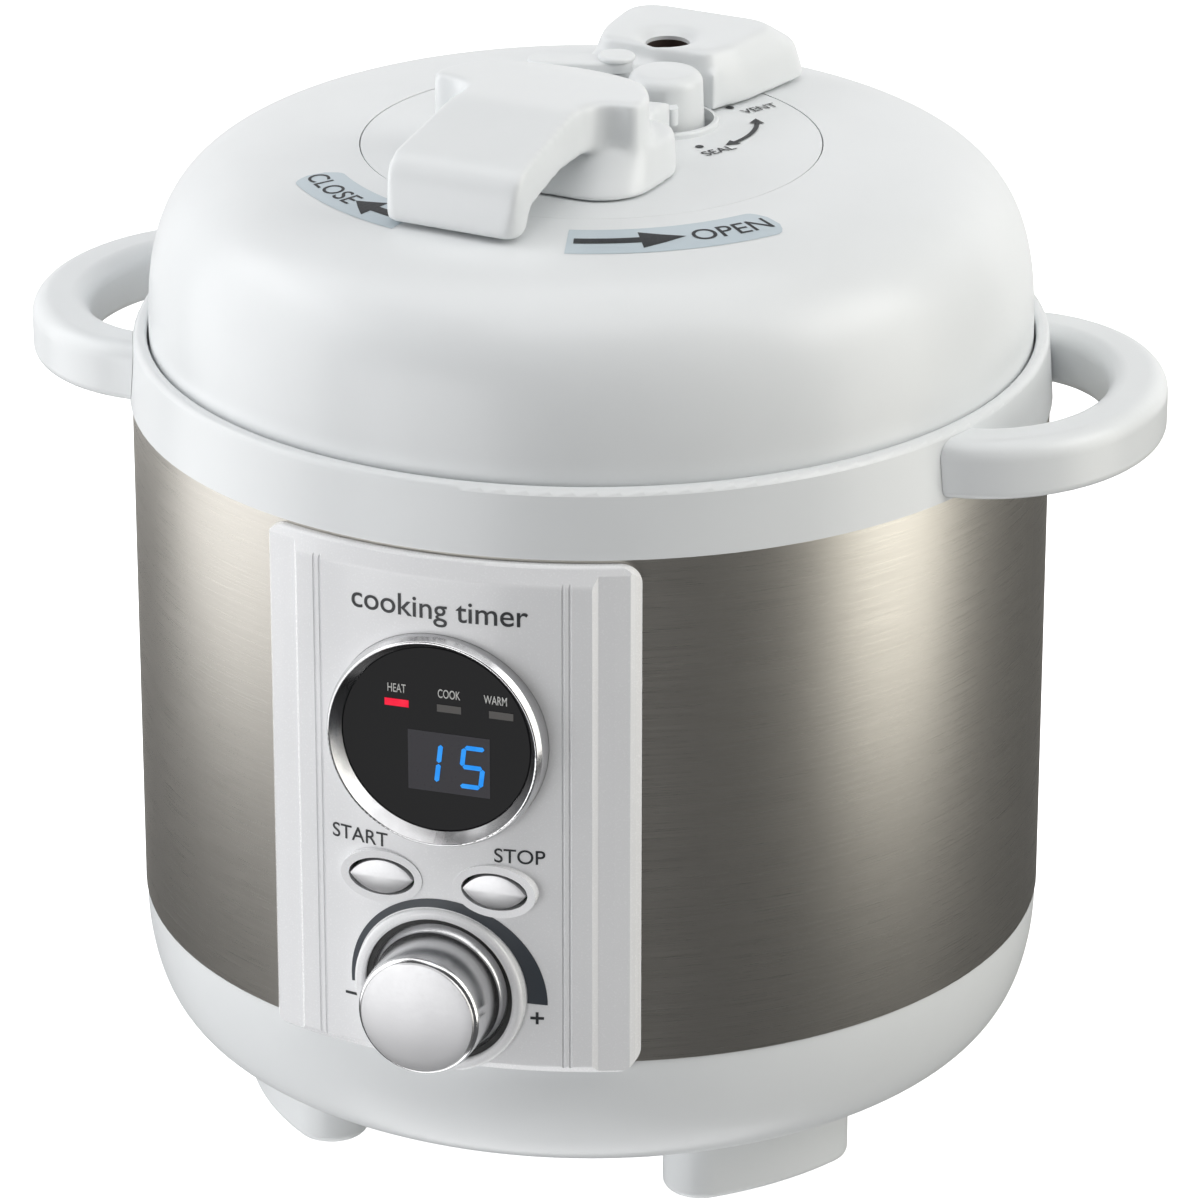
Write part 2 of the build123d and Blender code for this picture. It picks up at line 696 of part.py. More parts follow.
with BuildPart() as panel_housing:
    with BuildSketch(Plane.XZ):
        with BuildLine():
            FilletPolyline(
                (JACKET_R, PANEL_LOW),
                (PANEL_R - 1.6, PANEL_LOW),
                (PANEL_R, PANEL_LOW + 2.2),
                (PANEL_R, PANEL_HIGH - 4.5),
                (PANEL_R - 2.0, PANEL_HIGH),
                (JACKET_R, PANEL_HIGH),
                radius=[0, 0.8, 1.2, 2.5, 1, 0],
                close=True,
            )
        make_face()
    revolve(axis=Axis.Z)
    with BuildSketch(Plane.XY.offset(PANEL_LOW - 1)):
        add(panel_plan.sketch)
    extrude(amount=PANEL_HIGH - PANEL_LOW + 2, mode=Mode.INTERSECT)
    with BuildSketch(front_at(-80)):
        with Locations((0, (PANEL_LOW + PANEL_HIGH) / 2)):
            RectangleRounded(PANEL_W, PANEL_HIGH - PANEL_LOW, 5)
    extrude(amount=40, mode=Mode.INTERSECT)
    with BuildSketch(Plane.XY.offset(PANEL_LOW + PANEL_T)):
        Circle(PANEL_R - PANEL_T)
        Polygon((0, 0), in_plan(140, -20.5), in_plan(140, 20.5), align=None, mode=Mode.INTERSECT)
    extrude(amount=PANEL_HIGH - PANEL_LOW - 2 * PANEL_T, mode=Mode.SUBTRACT)
    with BuildSketch(Plane.XY.offset(PANEL_LOW - 1)):
        for azimuth in (GROOVE_AZ, GROOVE_AZ + GROOVE_PITCH):
            with Locations(in_plan(PANEL_R, azimuth), in_plan(PANEL_R, -azimuth)):
                Circle(0.4)
    extrude(amount=PANEL_HIGH - PANEL_LOW + 2, mode=Mode.SUBTRACT)
    with BuildSketch(front_at(-100)):
        with Locations((0, DISPLAY_Z)):
            Circle(BEZEL_R + 0.05)
        with Locations((-BUTTON_X, BUTTON_Z), (BUTTON_X, BUTTON_Z)):
            Ellipse(BUTTON_LENGTH / 2 + 0.3, BUTTON_HEIGHT / 2 + 0.3)
        with Locations((0, KNOB_Z)):
            Circle(DIAL_IN_R)
    extrude(amount=20, mode=Mode.SUBTRACT)
    with BuildSketch(front_at(-109.6)):
        with Locations((-BUTTON_X, BUTTON_Z), (BUTTON_X, BUTTON_Z)):
            Ellipse(BUTTON_LENGTH / 2 + 2.2, BUTTON_HEIGHT / 2 + 2.2)
            Ellipse(BUTTON_LENGTH / 2 + 0.3, BUTTON_HEIGHT / 2 + 0.3, mode=Mode.SUBTRACT)
    extrude(amount=4.6)
    with BuildSketch(Plane(origin=(0, 0, KNOB_Z), x_dir=(0, -1, 0), z_dir=(1, 0, 0))):
        with BuildLine():
            FilletPolyline(
                (108.6, DIAL_IN_R),
                (115.2, DIAL_IN_R),
                (115.2, DIAL_R),
                (108.6, DIAL_R + 0.4),
                radius=[0, 0.8, 1.2, 0],
                close=True,
            )
        make_face()
        with BuildLine():
            Polyline(
                (108.6, SHAFT_R + 2),
                (110, SHAFT_R + 2),
                (110, DIAL_IN_R + 0.5),
                (108.6, DIAL_IN_R + 0.5),
                close=True,
            )
        make_face()
    revolve(axis=Axis(origin=(0, 0, KNOB_Z), direction=(0, -1, 0)))
    with BuildSketch(Plane.XY.offset(PANEL_LOW)):
        Circle(130)
    extrude(amount=-10, mode=Mode.SUBTRACT)
panel_housing.part.label = "panel_housing"
export_step(panel_housing.part, "parts/panel_housing.step")

# ---------------------------------------------------------------- display
with BuildPart() as display_bezel:
    with BuildSketch(Plane(origin=(0, 0, DISPLAY_Z), x_dir=(0, -1, 0), z_dir=(1, 0, 0))):
        with BuildLine():
            FilletPolyline(
                (107.6, LENS_R - 1.6),
                (112.2, LENS_R - 1.6),
                (112.2, LENS_R),
                (114.3, LENS_R),
                (BEZEL_FRONT, LENS_R + 2.1),
                (BEZEL_FRONT - 0.3, BEZEL_R - 0.7),
                (115.6, BEZEL_R),
                (107.6, BEZEL_R),
                radius=[0, 0, 0, 0.3, 0.3, 0.5, 1.0, 0],
                close=True,
            )
        make_face()
    revolve(axis=Axis(origin=(0, 0, DISPLAY_Z), direction=(0, -1, 0)))
display_bezel.part.label = "display_bezel"
export_step(display_bezel.part, "parts/display_bezel.step")

with BuildPart() as display_lens:
    with BuildSketch(front_at(-112.25)):
        with Locations((0, DISPLAY_Z)):
            Circle(LENS_R - 0.05)
    extrude(amount=2)
    fillet(display_lens.edges().group_by(Axis.Y)[0], 0.3)
display_lens.part.label = "display_lens"
export_step(display_lens.part, "parts/display_lens.step")

with BuildPart() as display_module:
    with BuildSketch(front_at(BOARD_FRONT)):
        with Locations((0, DISPLAY_Z - 4)):
            RectangleRounded(24, 16, 0.6)
    extrude(amount=7.6)
display_module.part.label = "display_module"
export_step(display_module.part, "parts/display_module.step")

with BuildPart() as indicator_lamps:
    with BuildSketch(front_at(BOARD_FRONT)):
        with Locations((-11, DISPLAY_Z + 8.5), (0, DISPLAY_Z + 8.5), (11, DISPLAY_Z + 8.5)):
            RectangleRounded(4.6, 2.2, 0.4)
    extrude(amount=7.6)
indicator_lamps.part.label = "indicator_lamps"
export_step(indicator_lamps.part, "parts/indicator_lamps.step")

# ---------------------------------------------------------------- control board and its switches
with BuildPart() as control_board:
    with BuildSketch(front_at(BOARD_Y)):
        with Locations((0, BOARD_Z)):
            RectangleRounded(BOARD_W, BOARD_H, 2)
            with GridLocations(BOARD_W - 8, BOARD_H - 8, 2, 2):
                Circle(1.5, mode=Mode.SUBTRACT)
    extrude(amount=BOARD_T)
control_board.part.label = "control_board"
export_step(control_board.part, "parts/control_board.step")

with BuildPart() as board_screws:
    with BuildSketch(front_at(BOARD_Y)):
        with Locations((0, BOARD_Z)):
            with GridLocations(BOARD_W - 8, BOARD_H - 8, 2, 2):
                Circle(2.6)
    extrude(amount=-1.6)
    with BuildSketch(front_at(BOARD_Y)):
        with Locations((0, BOARD_Z)):
            with GridLocations(BOARD_W - 8, BOARD_H - 8, 2, 2):
                Circle(1.35)
    extrude(amount=BOARD_T)
board_screws.part.label = "board_screws"
export_step(board_screws.part, "parts/board_screws.step")

with BuildPart() as button_switches:
    with BuildSketch(front_at(BOARD_FRONT)):
        with Locations((-BUTTON_X, BUTTON_Z), (BUTTON_X, BUTTON_Z)):
            RectangleRounded(6, 6, 0.4)
    extrude(amount=2.6)
    with BuildSketch(front_at(BOARD_FRONT - 2.6)):
        with Locations((-BUTTON_X, BUTTON_Z), (BUTTON_X, BUTTON_Z)):
            Circle(1.7)
    extrude(amount=0.8)
button_switches.part.label = "button_switches"
export_step(button_switches.part, "parts/button_switches.step")

# ---------------------------------------------------------------- start and stop buttons
for side, name in ((-1, "start_button"), (1, "stop_button")):
    with BuildPart() as button:
        with BuildSketch(front_at(-111)):
            with Locations((side * BUTTON_X, BUTTON_Z)):
                Ellipse(BUTTON_LENGTH / 2, BUTTON_HEIGHT / 2)
        extrude(amount=4.2)
        fillet(button.edges().group_by(Axis.Y)[0], 1.4)
        with BuildSketch(front_at(BOARD_FRONT - 3.4 - BUTTON_TRAVEL - 0.3)):
            with Locations((side * BUTTON_X, BUTTON_Z)):
                Circle(2)
        extrude(until=Until.NEXT)
    button.part.label = name
    export_step(button.part, f"parts/{name}.step")

# ---------------------------------------------------------------- timer knob and encoder
with BuildPart() as encoder_body:
    with BuildSketch(front_at(BOARD_FRONT)):
        with Locations((0, KNOB_Z)):
            Rectangle(12, 12)
    extrude(amount=3.4)
    with BuildSketch(front_at(BOARD_FRONT - 3.4)):
        with Locations((0, KNOB_Z)):
            Circle(SHAFT_R + 1.6)
    extrude(amount=3.8)
    with BuildSketch(front_at(BOARD_FRONT - 1)):
        with Locations((0, KNOB_Z)):
            Circle(SHAFT_R + 0.05)
    extrude(amount=8, mode=Mode.SUBTRACT)
encoder_body.part.label = "encoder_body"
export_step(encoder_body.part, "parts/encoder_body.step")

with BuildPart() as encoder_shaft:
    with BuildSketch(front_at(BOARD_FRONT - 1.1)):
        with Locations((0, KNOB_Z)):
            Circle(SHAFT_R)
    extrude(amount=19)
    with BuildSketch(front_at(BOARD_FRONT - 12)):
        with Locations((0, KNOB_Z + 2.9)):
            Rectangle(8, 2.4)
    extrude(amount=12, mode=Mode.SUBTRACT)
encoder_shaft.part.label = "encoder_shaft"
export_step(encoder_shaft.part, "parts/encoder_shaft.step")

with BuildPart() as timer_knob:
    with BuildSketch(Plane(origin=(0, 0, KNOB_Z), x_dir=(0, -1, 0), z_dir=(1, 0, 0))):
        with BuildLine():
            FilletPolyline(
                (110.6, 5),
                (110.6, KNOB_R + 2.2),
                (113.2, KNOB_R + 2.2),
                (115.6, KNOB_R + 0.6),
                (-KNOB_FRONT - 0.6, KNOB_R),
                (-KNOB_FRONT, 0),
                (110.6, 0),
                radius=[0, 0.4, 1.2, 1.6, 1.8, 0, 0],
                close=True,
            )
        make_face()
    revolve(axis=Axis(origin=(0, 0, KNOB_Z), direction=(0, -1, 0)))
    with BuildSketch(front_at(-110)):
        with Locations((0, KNOB_Z)):
            Circle(KNOB_R - 1.6)
            Circle(6, mode=Mode.SUBTRACT)
    extrude(amount=17, mode=Mode.SUBTRACT)
    with BuildSketch(front_at(-110)):
        with Locations((0, KNOB_Z)):
            Circle(5.2)
    extrude(amount=2, mode=Mode.SUBTRACT)
    with BuildSketch(front_at(-110)):
        with Locations((0, KNOB_Z)):
            Circle(SHAFT_R)
    extrude(amount=6, mode=Mode.SUBTRACT)
    with BuildSketch(front_at(-116)):
        with Locations((0, KNOB_Z)):
            Circle(SHAFT_R)
        with Locations((0, KNOB_Z + 2.9)):
            Rectangle(8, 2.4, mode=Mode.SUBTRACT)
    extrude(amount=8.1, mode=Mode.SUBTRACT)
timer_knob.part.label = "timer_knob"
export_step(timer_knob.part, "parts/timer_knob.step")

# ---------------------------------------------------------------- lid cover
with BuildPart() as lid_cover:
    with BuildSketch(Plane.XZ):
        outer_curve = dome_points(LID_R, LID_RISE, SEAM_R + SEAM_GAP / 2)
        inner_curve = dome_points(LID_R - LID_T, LID_RISE - LID_T, SEAM_R + SEAM_GAP / 2)
        with BuildLine():
            Spline(*outer_curve)
            Spline(*inner_curve)
            Line(outer_curve[-1], inner_curve[-1])
            Polyline(
                outer_curve[0],
                (LID_R, LID_LOW),
                (LID_R - LID_T, LID_LOW),
                inner_curve[0],
            )
        make_face()
    revolve(axis=Axis.Z)
lid_cover.part.label = "lid_cover"
export_step(lid_cover.part, "parts/lid_cover.step")

# ---------------------------------------------------------------- shared places on the lid
PIN_PLACE = handle_point(PIN_U, 0, 0)
PIVOT_PLACE = handle_point(PIVOT_U, PIVOT_V, 0)
LID_SCREWS = (handle_point(15, 0, 0), handle_point(-46, 16, 0), handle_point(-46, -16, 0))

# ---------------------------------------------------------------- lid top disc with the valve pocket
with BuildPart() as lid_top_disc:
    with BuildSketch(Plane.XZ):
        with BuildLine():
            ThreePointArc((0, DISC_TOP), (30, DISC_TOP - 0.08), (SEAM_R - SEAM_GAP / 2, DISC_TOP - 0.25))
            Polyline(
                (SEAM_R - SEAM_GAP / 2, DISC_TOP - 0.25),
                (SEAM_R - SEAM_GAP / 2, DISC_TOP - 2.6),
                (SEAM_R + 4, DISC_TOP - 3.6),
                (SEAM_R + 4, DISC_TOP - 6),
                (0, DISC_TOP - 6),
                (0, DISC_TOP),
            )
        make_face()
    revolve(axis=Axis.Z)
    with BuildSketch(Plane.XY.offset(DISC_TOP - 10)):
        with Locations((VALVE_X, VALVE_Y)):
            Circle(VALVE_LIP_R)
    extrude(amount=11.4)
    fillet(lid_top_disc.edges().group_by(Axis.Z)[-1], 0.6)
    with BuildSketch(Plane.XY.offset(DISC_TOP - 8)):
        with Locations((VALVE_X, VALVE_Y)):
            Circle(VALVE_POCKET_R)
    extrude(amount=12, mode=Mode.SUBTRACT)
    with BuildSketch(Plane.XY.offset(DISC_TOP - 12)):
        with Locations((VALVE_X, VALVE_Y)):
            Circle(4.2)
        with Locations(PIN_PLACE):
            Circle(5)
    extrude(amount=14, mode=Mode.SUBTRACT)
    with BuildSketch(Plane.XY.offset(PLATE_TOP)):
        with Locations(*LID_SCREWS):
            Circle(5)
            Circle(2.2, mode=Mode.SUBTRACT)
    extrude(amount=DISC_TOP - 6 - PLATE_TOP)
    with BuildSketch(Plane.XY.offset(PLATE_TOP)):
        with Locations(*LID_SCREWS):
            Circle(2.2)
    extrude(amount=DISC_TOP, mode=Mode.SUBTRACT)
lid_top_disc.part.label = "lid_top_disc"
export_step(lid_top_disc.part, "parts/lid_top_disc.step")

# ---------------------------------------------------------------- lid handle
HUB_CENTRE = HUB_FRONT + 1
SEAT = DISC_TOP + 0.05
ARCH_TOP = 250.2
with BuildPart() as lid_handle:
    with BuildSketch(HANDLE.offset(GRIP_UNDER)):
        with Locations((HUB_CENTRE, HUB_V)):
            Circle(HUB_R)
        with Locations((HUB_FRONT + 25, 0)):
            Rectangle(50, 80, mode=Mode.SUBTRACT)
        Polygon(
            (6, GRIP_HALF),
            (HUB_FRONT, GRIP_HALF),
            (GRIP_END, GRIP_END_HALF),
            (GRIP_END, -GRIP_END_HALF),
            (HUB_FRONT, -GRIP_HALF),
            (6, -GRIP_HALF),
            align=None,
        )
        fillet(vertices().filter_by(lambda v: abs(v.X - HUB_FRONT) < 0.1 and abs(v.Y) < GRIP_HALF + 1), 7)
        fillet(vertices().filter_by(lambda v: v.X > GRIP_END - 1), 3)
    extrude(amount=HANDLE_TOP - GRIP_UNDER)
    with BuildSketch(HANDLE_SIDE):
        with BuildLine():
            FilletPolyline(
                (-4, SEAT),
                (-4, HANDLE_TOP - 3.4),
                (12, HANDLE_TOP - 0.5),
                (40, HANDLE_TOP),
                (GRIP_END - 2.6, HANDLE_TOP - 6.2),
                (GRIP_END, GRIP_UNDER),
                (GRIP_END - 6.5, GRIP_UNDER),
                (GRIP_END - 10, SEAT + 5.6),
                (46, ARCH_TOP),
                (HUB_FRONT + 0.6, ARCH_TOP),
                (HUB_FRONT + 0.6, SEAT),
                radius=[0, 0, 20, 25, 8, 0.8, 1.2, 3, 8, 2, 0],
                close=True,
            )
        make_face()
    extrude(amount=40, both=True, mode=Mode.INTERSECT)
    with BuildSketch(HANDLE.offset(SEAT)):
        with Locations((PLINTH_END - 18, 0)):
            RectangleRounded(36, 2 * PLINTH_HALF, 13)
    with BuildSketch(HANDLE.offset(ARCH_TOP)):
        with Locations((PLINTH_END - 23, 0)):
            RectangleRounded(26, 2 * PLINTH_HALF - 4, 8)
    loft()
    with BuildSketch(HANDLE.offset(SEAT)):
        with Locations((-16, 0)):
            RectangleRounded(52, 2 * SPINE_HALF, 3)
    extrude(amount=SPINE_TOP - SEAT)
    with BuildSketch(HANDLE.offset(SEAT)):
        Polygon(
            (REAR_FRONT, REAR_NECK),
            (PIN_U - 1.5, REAR_WAIST),
            (REAR_END, REAR_HALF),
            (REAR_END, -REAR_HALF),
            (PIN_U - 1.5, -REAR_WAIST),
            (REAR_FRONT, -REAR_NECK),
            align=None,
        )
        fillet(vertices().filter_by(lambda v: v.X < REAR_END + 1), 8)
    with BuildSketch(HANDLE.offset(REAR_TOP)):
        Polygon(
            (REAR_FRONT - 1.5, REAR_NECK - 1.5),
            (PIN_U - 1.5, REAR_WAIST - 3),
            (REAR_END + REAR_SLOPE, REAR_HALF - 7),
            (REAR_END + REAR_SLOPE, 7 - REAR_HALF),
            (PIN_U - 1.5, 3 - REAR_WAIST),
            (REAR_FRONT - 1.5, 1.5 - REAR_NECK),
            align=None,
        )
        fillet(vertices().filter_by(lambda v: v.X < REAR_END + REAR_SLOPE + 1), 6)
    loft()
    fillet(lid_handle.faces().filter_by(lambda f: abs(f.center().Z - REAR_TOP) < 0.1).edges(), 2)
    with BuildSketch(Plane.XY.offset(SEAT)):
        with Locations((VALVE_X, VALVE_Y)):
            Circle(VALVE_LIP_R + 0.4)
    extrude(amount=HANDLE_TOP - SEAT, mode=Mode.SUBTRACT)
    with BuildSketch(Plane.XY.offset(SEAT)):
        with Locations(PIN_PLACE):
            Circle(PIN_BORE_R)
    extrude(amount=HANDLE_TOP - SEAT, mode=Mode.SUBTRACT)
    with BuildSketch(Plane.XY.offset(REAR_TOP - PIN_FLARE)):
        with Locations(PIN_PLACE):
            Circle(PIN_BORE_R)
    extrude(amount=PIN_FLARE, taper=-35, mode=Mode.SUBTRACT)
    with BuildSketch(Plane.XY.offset(SPINE_TOP - 4)):
        with Locations(PIVOT_PLACE):
            Circle(PIVOT_R)
    extrude(amount=4, mode=Mode.SUBTRACT)
    with BuildSketch(Plane.XY.offset(SEAT)):
        with Locations(*LID_SCREWS):
            Circle(LID_SCREW_R)
    extrude(amount=LID_SCREW_TOP - SEAT, mode=Mode.SUBTRACT)
lid_handle.part.label = "lid_handle"
export_step(lid_handle.part, "parts/lid_handle.step")

# ---------------------------------------------------------------- release lever and its pivot cap
with BuildPart() as release_lever:
    with BuildSketch(HANDLE.offset(LEVER_LOW)):
        with Locations(Location((PIVOT_U, PIVOT_V, 0), (0, 0, LEVER_AZ))):
            with Locations((LEVER_LENGTH / 2, 0)):
                SlotCenterToCenter(LEVER_LENGTH, LEVER_W)
            Circle(PIVOT_R + 0.05, mode=Mode.SUBTRACT)
    extrude(amount=LEVER_T)
    fillet(release_lever.edges().group_by(Axis.Z)[-1].filter_by(lambda e: e.length > 10), 0.9)
release_lever.part.label = "release_lever"
export_step(release_lever.part, "parts/release_lever.step")

with BuildPart() as pivot_cap:
    with BuildSketch(Plane.XY.offset(SPINE_TOP - 3.6)):
        with Locations(PIVOT_PLACE):
            Circle(PIVOT_R - 0.05)
    extrude(amount=LEVER_LOW + LEVER_T - SPINE_TOP + 3.7)
    with BuildSketch(Plane.XY.offset(LEVER_LOW + LEVER_T + 0.05)):
        with Locations(PIVOT_PLACE):
            Circle(PIVOT_CAP_R)
    extrude(amount=1.1)
    fillet(pivot_cap.edges().group_by(Axis.Z)[-1], 0.7)
pivot_cap.part.label = "pivot_cap"
export_step(pivot_cap.part, "parts/pivot_cap.step")

# ---------------------------------------------------------------- steam vent pipe
with BuildPart() as vent_pipe:
    with BuildSketch(Plane.XY.offset(VENT_LOW)):
        with Locations((VALVE_X, VALVE_Y)):
            Circle(VENT_R)
    extrude(amount=VENT_TOP - VENT_LOW)
    with BuildSketch(Plane.XY.offset(PLATE_UNDER - 2.05)):
        with Locations((VALVE_X, VALVE_Y)):
            Circle(VENT_FLANGE_R)
    extrude(amount=2)
    with BuildSketch(Plane.XY.offset(VENT_LOW)):
        with Locations((VALVE_X, VALVE_Y)):
            Circle(VENT_BORE)
    extrude(amount=VENT_TOP - VENT_LOW, mode=Mode.SUBTRACT)
vent_pipe.part.label = "vent_pipe"
export_step(vent_pipe.part, "parts/vent_pipe.step")

# ---------------------------------------------------------------- slotted cap that keeps food out of the vent
CAP_R = 9.0
CAP_LOW = 187.6
CAP_HIGH = 197.9
with BuildPart() as anti_block_cap:
    with BuildSketch(Plane.XY.offset(CAP_LOW)):
        with Locations((VALVE_X, VALVE_Y)):
            Circle(CAP_R)
    extrude(amount=CAP_HIGH - CAP_LOW)
    fillet(anti_block_cap.edges().group_by(Axis.Z)[0], 2)
    with BuildSketch(Plane.XY.offset(CAP_LOW + 1.2)):
        with Locations((VALVE_X, VALVE_Y)):
            Circle(CAP_R - 1.2)
    extrude(amount=CAP_HIGH - CAP_LOW - 2.6, mode=Mode.SUBTRACT)
    with BuildSketch(Plane.XY.offset(CAP_LOW + 2.4)):
        with Locations((VALVE_X, VALVE_Y)):
            with PolarLocations(0, 4):
                Rectangle(2 * CAP_R + 2, 2.4)
    extrude(amount=CAP_HIGH - CAP_LOW - 5.2, mode=Mode.SUBTRACT)
    with BuildSketch(Plane.XY.offset(CAP_LOW + 2.4)):
        with Locations((VALVE_X, VALVE_Y)):
            Circle(VENT_R + 0.05)
    extrude(amount=CAP_HIGH - CAP_LOW, mode=Mode.SUBTRACT)
anti_block_cap.part.label = "anti_block_cap"
export_step(anti_block_cap.part, "parts/anti_block_cap.step")

# ---------------------------------------------------------------- valve weight and valve cap, turned as one
with BuildPart() as valve_weight:
    with BuildSketch(Plane.XZ):
        Polygon(
            (0, VENT_TOP - 1.4),
            (1.1, VENT_TOP - 1.4),
            (1.4, VENT_TOP + 0.05),
            (VENT_R + 0.3, VENT_TOP + 0.05),
            (VENT_R + 0.3, VENT_TOP - 3),
            (WEIGHT_R, VENT_TOP - 3),
            (WEIGHT_R, VENT_TOP + 4),
            (0, VENT_TOP + 4),
            align=None,
        )
    revolve(axis=Axis.Z)
valve_weight.part = valve_weight.part.moved(Location((VALVE_X, VALVE_Y, 0)))
valve_weight.part.label = "valve_weight"
export_step(valve_weight.part, "parts/valve_weight.step")

with BuildPart() as valve_cap:
    with BuildSketch(Plane.XZ):
        with BuildLine():
            FilletPolyline(
                (0, VALVE_TOP),
                (VALVE_CAP_R - 0.7, VALVE_TOP - 0.6),
                (VALVE_CAP_R, DISC_TOP - 4),
                (VALVE_CAP_R - 1.8, DISC_TOP - 4),
                (VALVE_CAP_R - 1.8, VENT_TOP),
                (WEIGHT_R + 0.05, VENT_TOP),
                (WEIGHT_R + 0.05, VENT_TOP + 4.05),
                (0, VENT_TOP + 4.05),
                radius=[0, 3, 0.5, 0.5, 0, 0, 0, 0],
                close=True,
            )
        make_face()
    revolve(axis=Axis.Z)
    with BuildSketch(Plane.XY.offset(VENT_TOP - 1.6)):
        with Locations(Location((0, 0, 0), (0, 0, POINTER_AZ))):
            with Locations((VALVE_CAP_R, 0)):
                SlotCenterToCenter(3.6, 3)
    extrude(amount=4)
valve_cap.part = valve_cap.part.moved(Location((VALVE_X, VALVE_Y, 0)))
valve_cap.part.label = "valve_cap"
export_step(valve_cap.part, "parts/valve_cap.step")

# ---------------------------------------------------------------- pressure pin and its little seal
with BuildPart() as float_pin:
    with BuildSketch(Plane.XY.offset(PIN_LOW)):
        with Locations(PIN_PLACE):
            Circle(PIN_SEAL_R)
    extrude(amount=1.4)
    with BuildSketch(Plane.XY.offset(PIN_LOW)):
        with Locations(PIN_PLACE):
            Circle(PIN_R)
    extrude(amount=PIN_TOP - PIN_LOW)
    with BuildSketch(Plane.XY.offset(PIN_TOP - 9)):
        with Locations(PIN_PLACE):
            Circle(PIN_HEAD_R)
    extrude(amount=9)
    fillet(float_pin.edges().group_by(Axis.Z)[-1], 1)
float_pin.part.label = "float_pin"
export_step(float_pin.part, "parts/float_pin.step")

with BuildPart() as float_seal:
    with BuildSketch(Plane.XY.offset(PIN_LOW + 1.45)):
        with Locations(PIN_PLACE):
            Circle(PIN_SEAL_R)
            Circle(PIN_R + 0.02, mode=Mode.SUBTRACT)
    extrude(amount=1.6)
    fillet(float_seal.edges().group_by(Axis.Z)[-1].sort_by(SortBy.LENGTH)[-1], 0.5)
float_seal.part.label = "float_seal"
export_step(float_seal.part, "parts/float_seal.step")

# ---------------------------------------------------------------- metal lid with its locking teeth
FLANGE_R = 93.3
FLANGE_LOW = LID_TEETH_LOW
with BuildPart() as metal_lid:
    with BuildSketch(Plane.XZ):
        Polygon(
            (0, PLATE_TOP),
            (79, PLATE_TOP),
            (83.2, 190.4),
            (FLANGE_R, 190.4),
            (FLANGE_R, FLANGE_LOW),
            (FLANGE_R - 2.1, FLANGE_LOW),
            (FLANGE_R - 2.1, 188.4),
            (81.5, 188.4),
            (77.5, PLATE_UNDER),
            (0, PLATE_UNDER),
            align=None,
        )
    revolve(axis=Axis.Z)
    with BuildSketch(Plane.XY.offset(LID_TEETH_LOW)):
        Circle(LID_TEETH_R)
        add(tooth_wedges.sketch.rotate(Axis.Z, TEETH_PITCH / 2), mode=Mode.INTERSECT)
        Circle(FLANGE_R - 1, mode=Mode.SUBTRACT)
    extrude(amount=LID_TEETH_HIGH - LID_TEETH_LOW)
    with BuildSketch(Plane.XY.offset(PLATE_UNDER)):
        with Locations((VALVE_X, VALVE_Y)):
            Circle(VENT_R + 0.1)
        with Locations(PIN_PLACE):
            Circle(PIN_R + 0.1)
        with Locations(*LID_SCREWS):
            Circle(LID_SCREW_R + 0.2)
    extrude(amount=2, mode=Mode.SUBTRACT)
metal_lid.part.label = "metal_lid"
export_step(metal_lid.part, "parts/metal_lid.step")

# ---------------------------------------------------------------- screws from the metal lid into the handle
with BuildPart() as lid_screws:
    with BuildSketch(Plane.XY.offset(PLATE_UNDER - 2.05)):
        with Locations(*LID_SCREWS):
            Circle(3.6)
    extrude(amount=2)
    fillet(lid_screws.edges().group_by(Axis.Z)[0], 0.8)
    with BuildSketch(Plane.XY.offset(PLATE_UNDER - 1)):
        with Locations(*LID_SCREWS):
            Circle(LID_SCREW_R - 0.02)
    extrude(amount=LID_SCREW_TOP - PLATE_UNDER)
    with BuildSketch(Plane.XY.offset(PLATE_UNDER - 2.05)):
        with Locations(*LID_SCREWS):
            Rectangle(4.4, 0.9)
            Rectangle(0.9, 4.4)
    extrude(amount=1.1, mode=Mode.SUBTRACT)
lid_screws.part.label = "lid_screws"
export_step(lid_screws.part, "parts/lid_screws.step")

# ---------------------------------------------------------------- liner ring inside the lid's edge
with BuildPart() as lid_liner:
    with BuildSketch(Plane.XY.offset(190.45)):
        Circle(LID_R - LID_T - 0.2)
        Circle(86, mode=Mode.SUBTRACT)
    extrude(amount=2)
    with BuildSketch(Plane.XY.offset(190.45)):
        Circle(LID_R - LID_T - 0.2)
        Circle(LID_R - LID_T - 1.8, mode=Mode.SUBTRACT)
    extrude(amount=5)
lid_liner.part.label = "lid_liner"
export_step(lid_liner.part, "parts/lid_liner.step")

# ---------------------------------------------------------------- sealing ring and the wire that holds it
with BuildPart() as sealing_ring:
    with BuildSketch(Plane.XZ):
        with BuildLine():
            FilletPolyline(
                (84.8, 188.1),
                (90.8, 188.1),
                (90.8, 183.4),
                (87.6, 181.6),
                (86.2, 182.4),
                (88.2, 184.6),
                (88.2, 185.6),
                (84.8, 186.2),
                radius=[0.6, 0.8, 0.8, 0.4, 0.4, 0.4, 0.4, 0.4],
                close=True,
            )
        make_face()
    revolve(axis=Axis.Z)
sealing_ring.part.label = "sealing_ring"
export_step(sealing_ring.part, "parts/sealing_ring.step")

with BuildPart() as seal_retainer:
    with BuildSketch(Plane.XZ):
        with Locations((83.6, 187.0)):
            Circle(1)
    revolve(axis=Axis.Z)
seal_retainer.part.label = "seal_retainer"
export_step(seal_retainer.part, "parts/seal_retainer.step")
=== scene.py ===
import json
import math

import bmesh
import bpy
from mathutils import Matrix, Vector


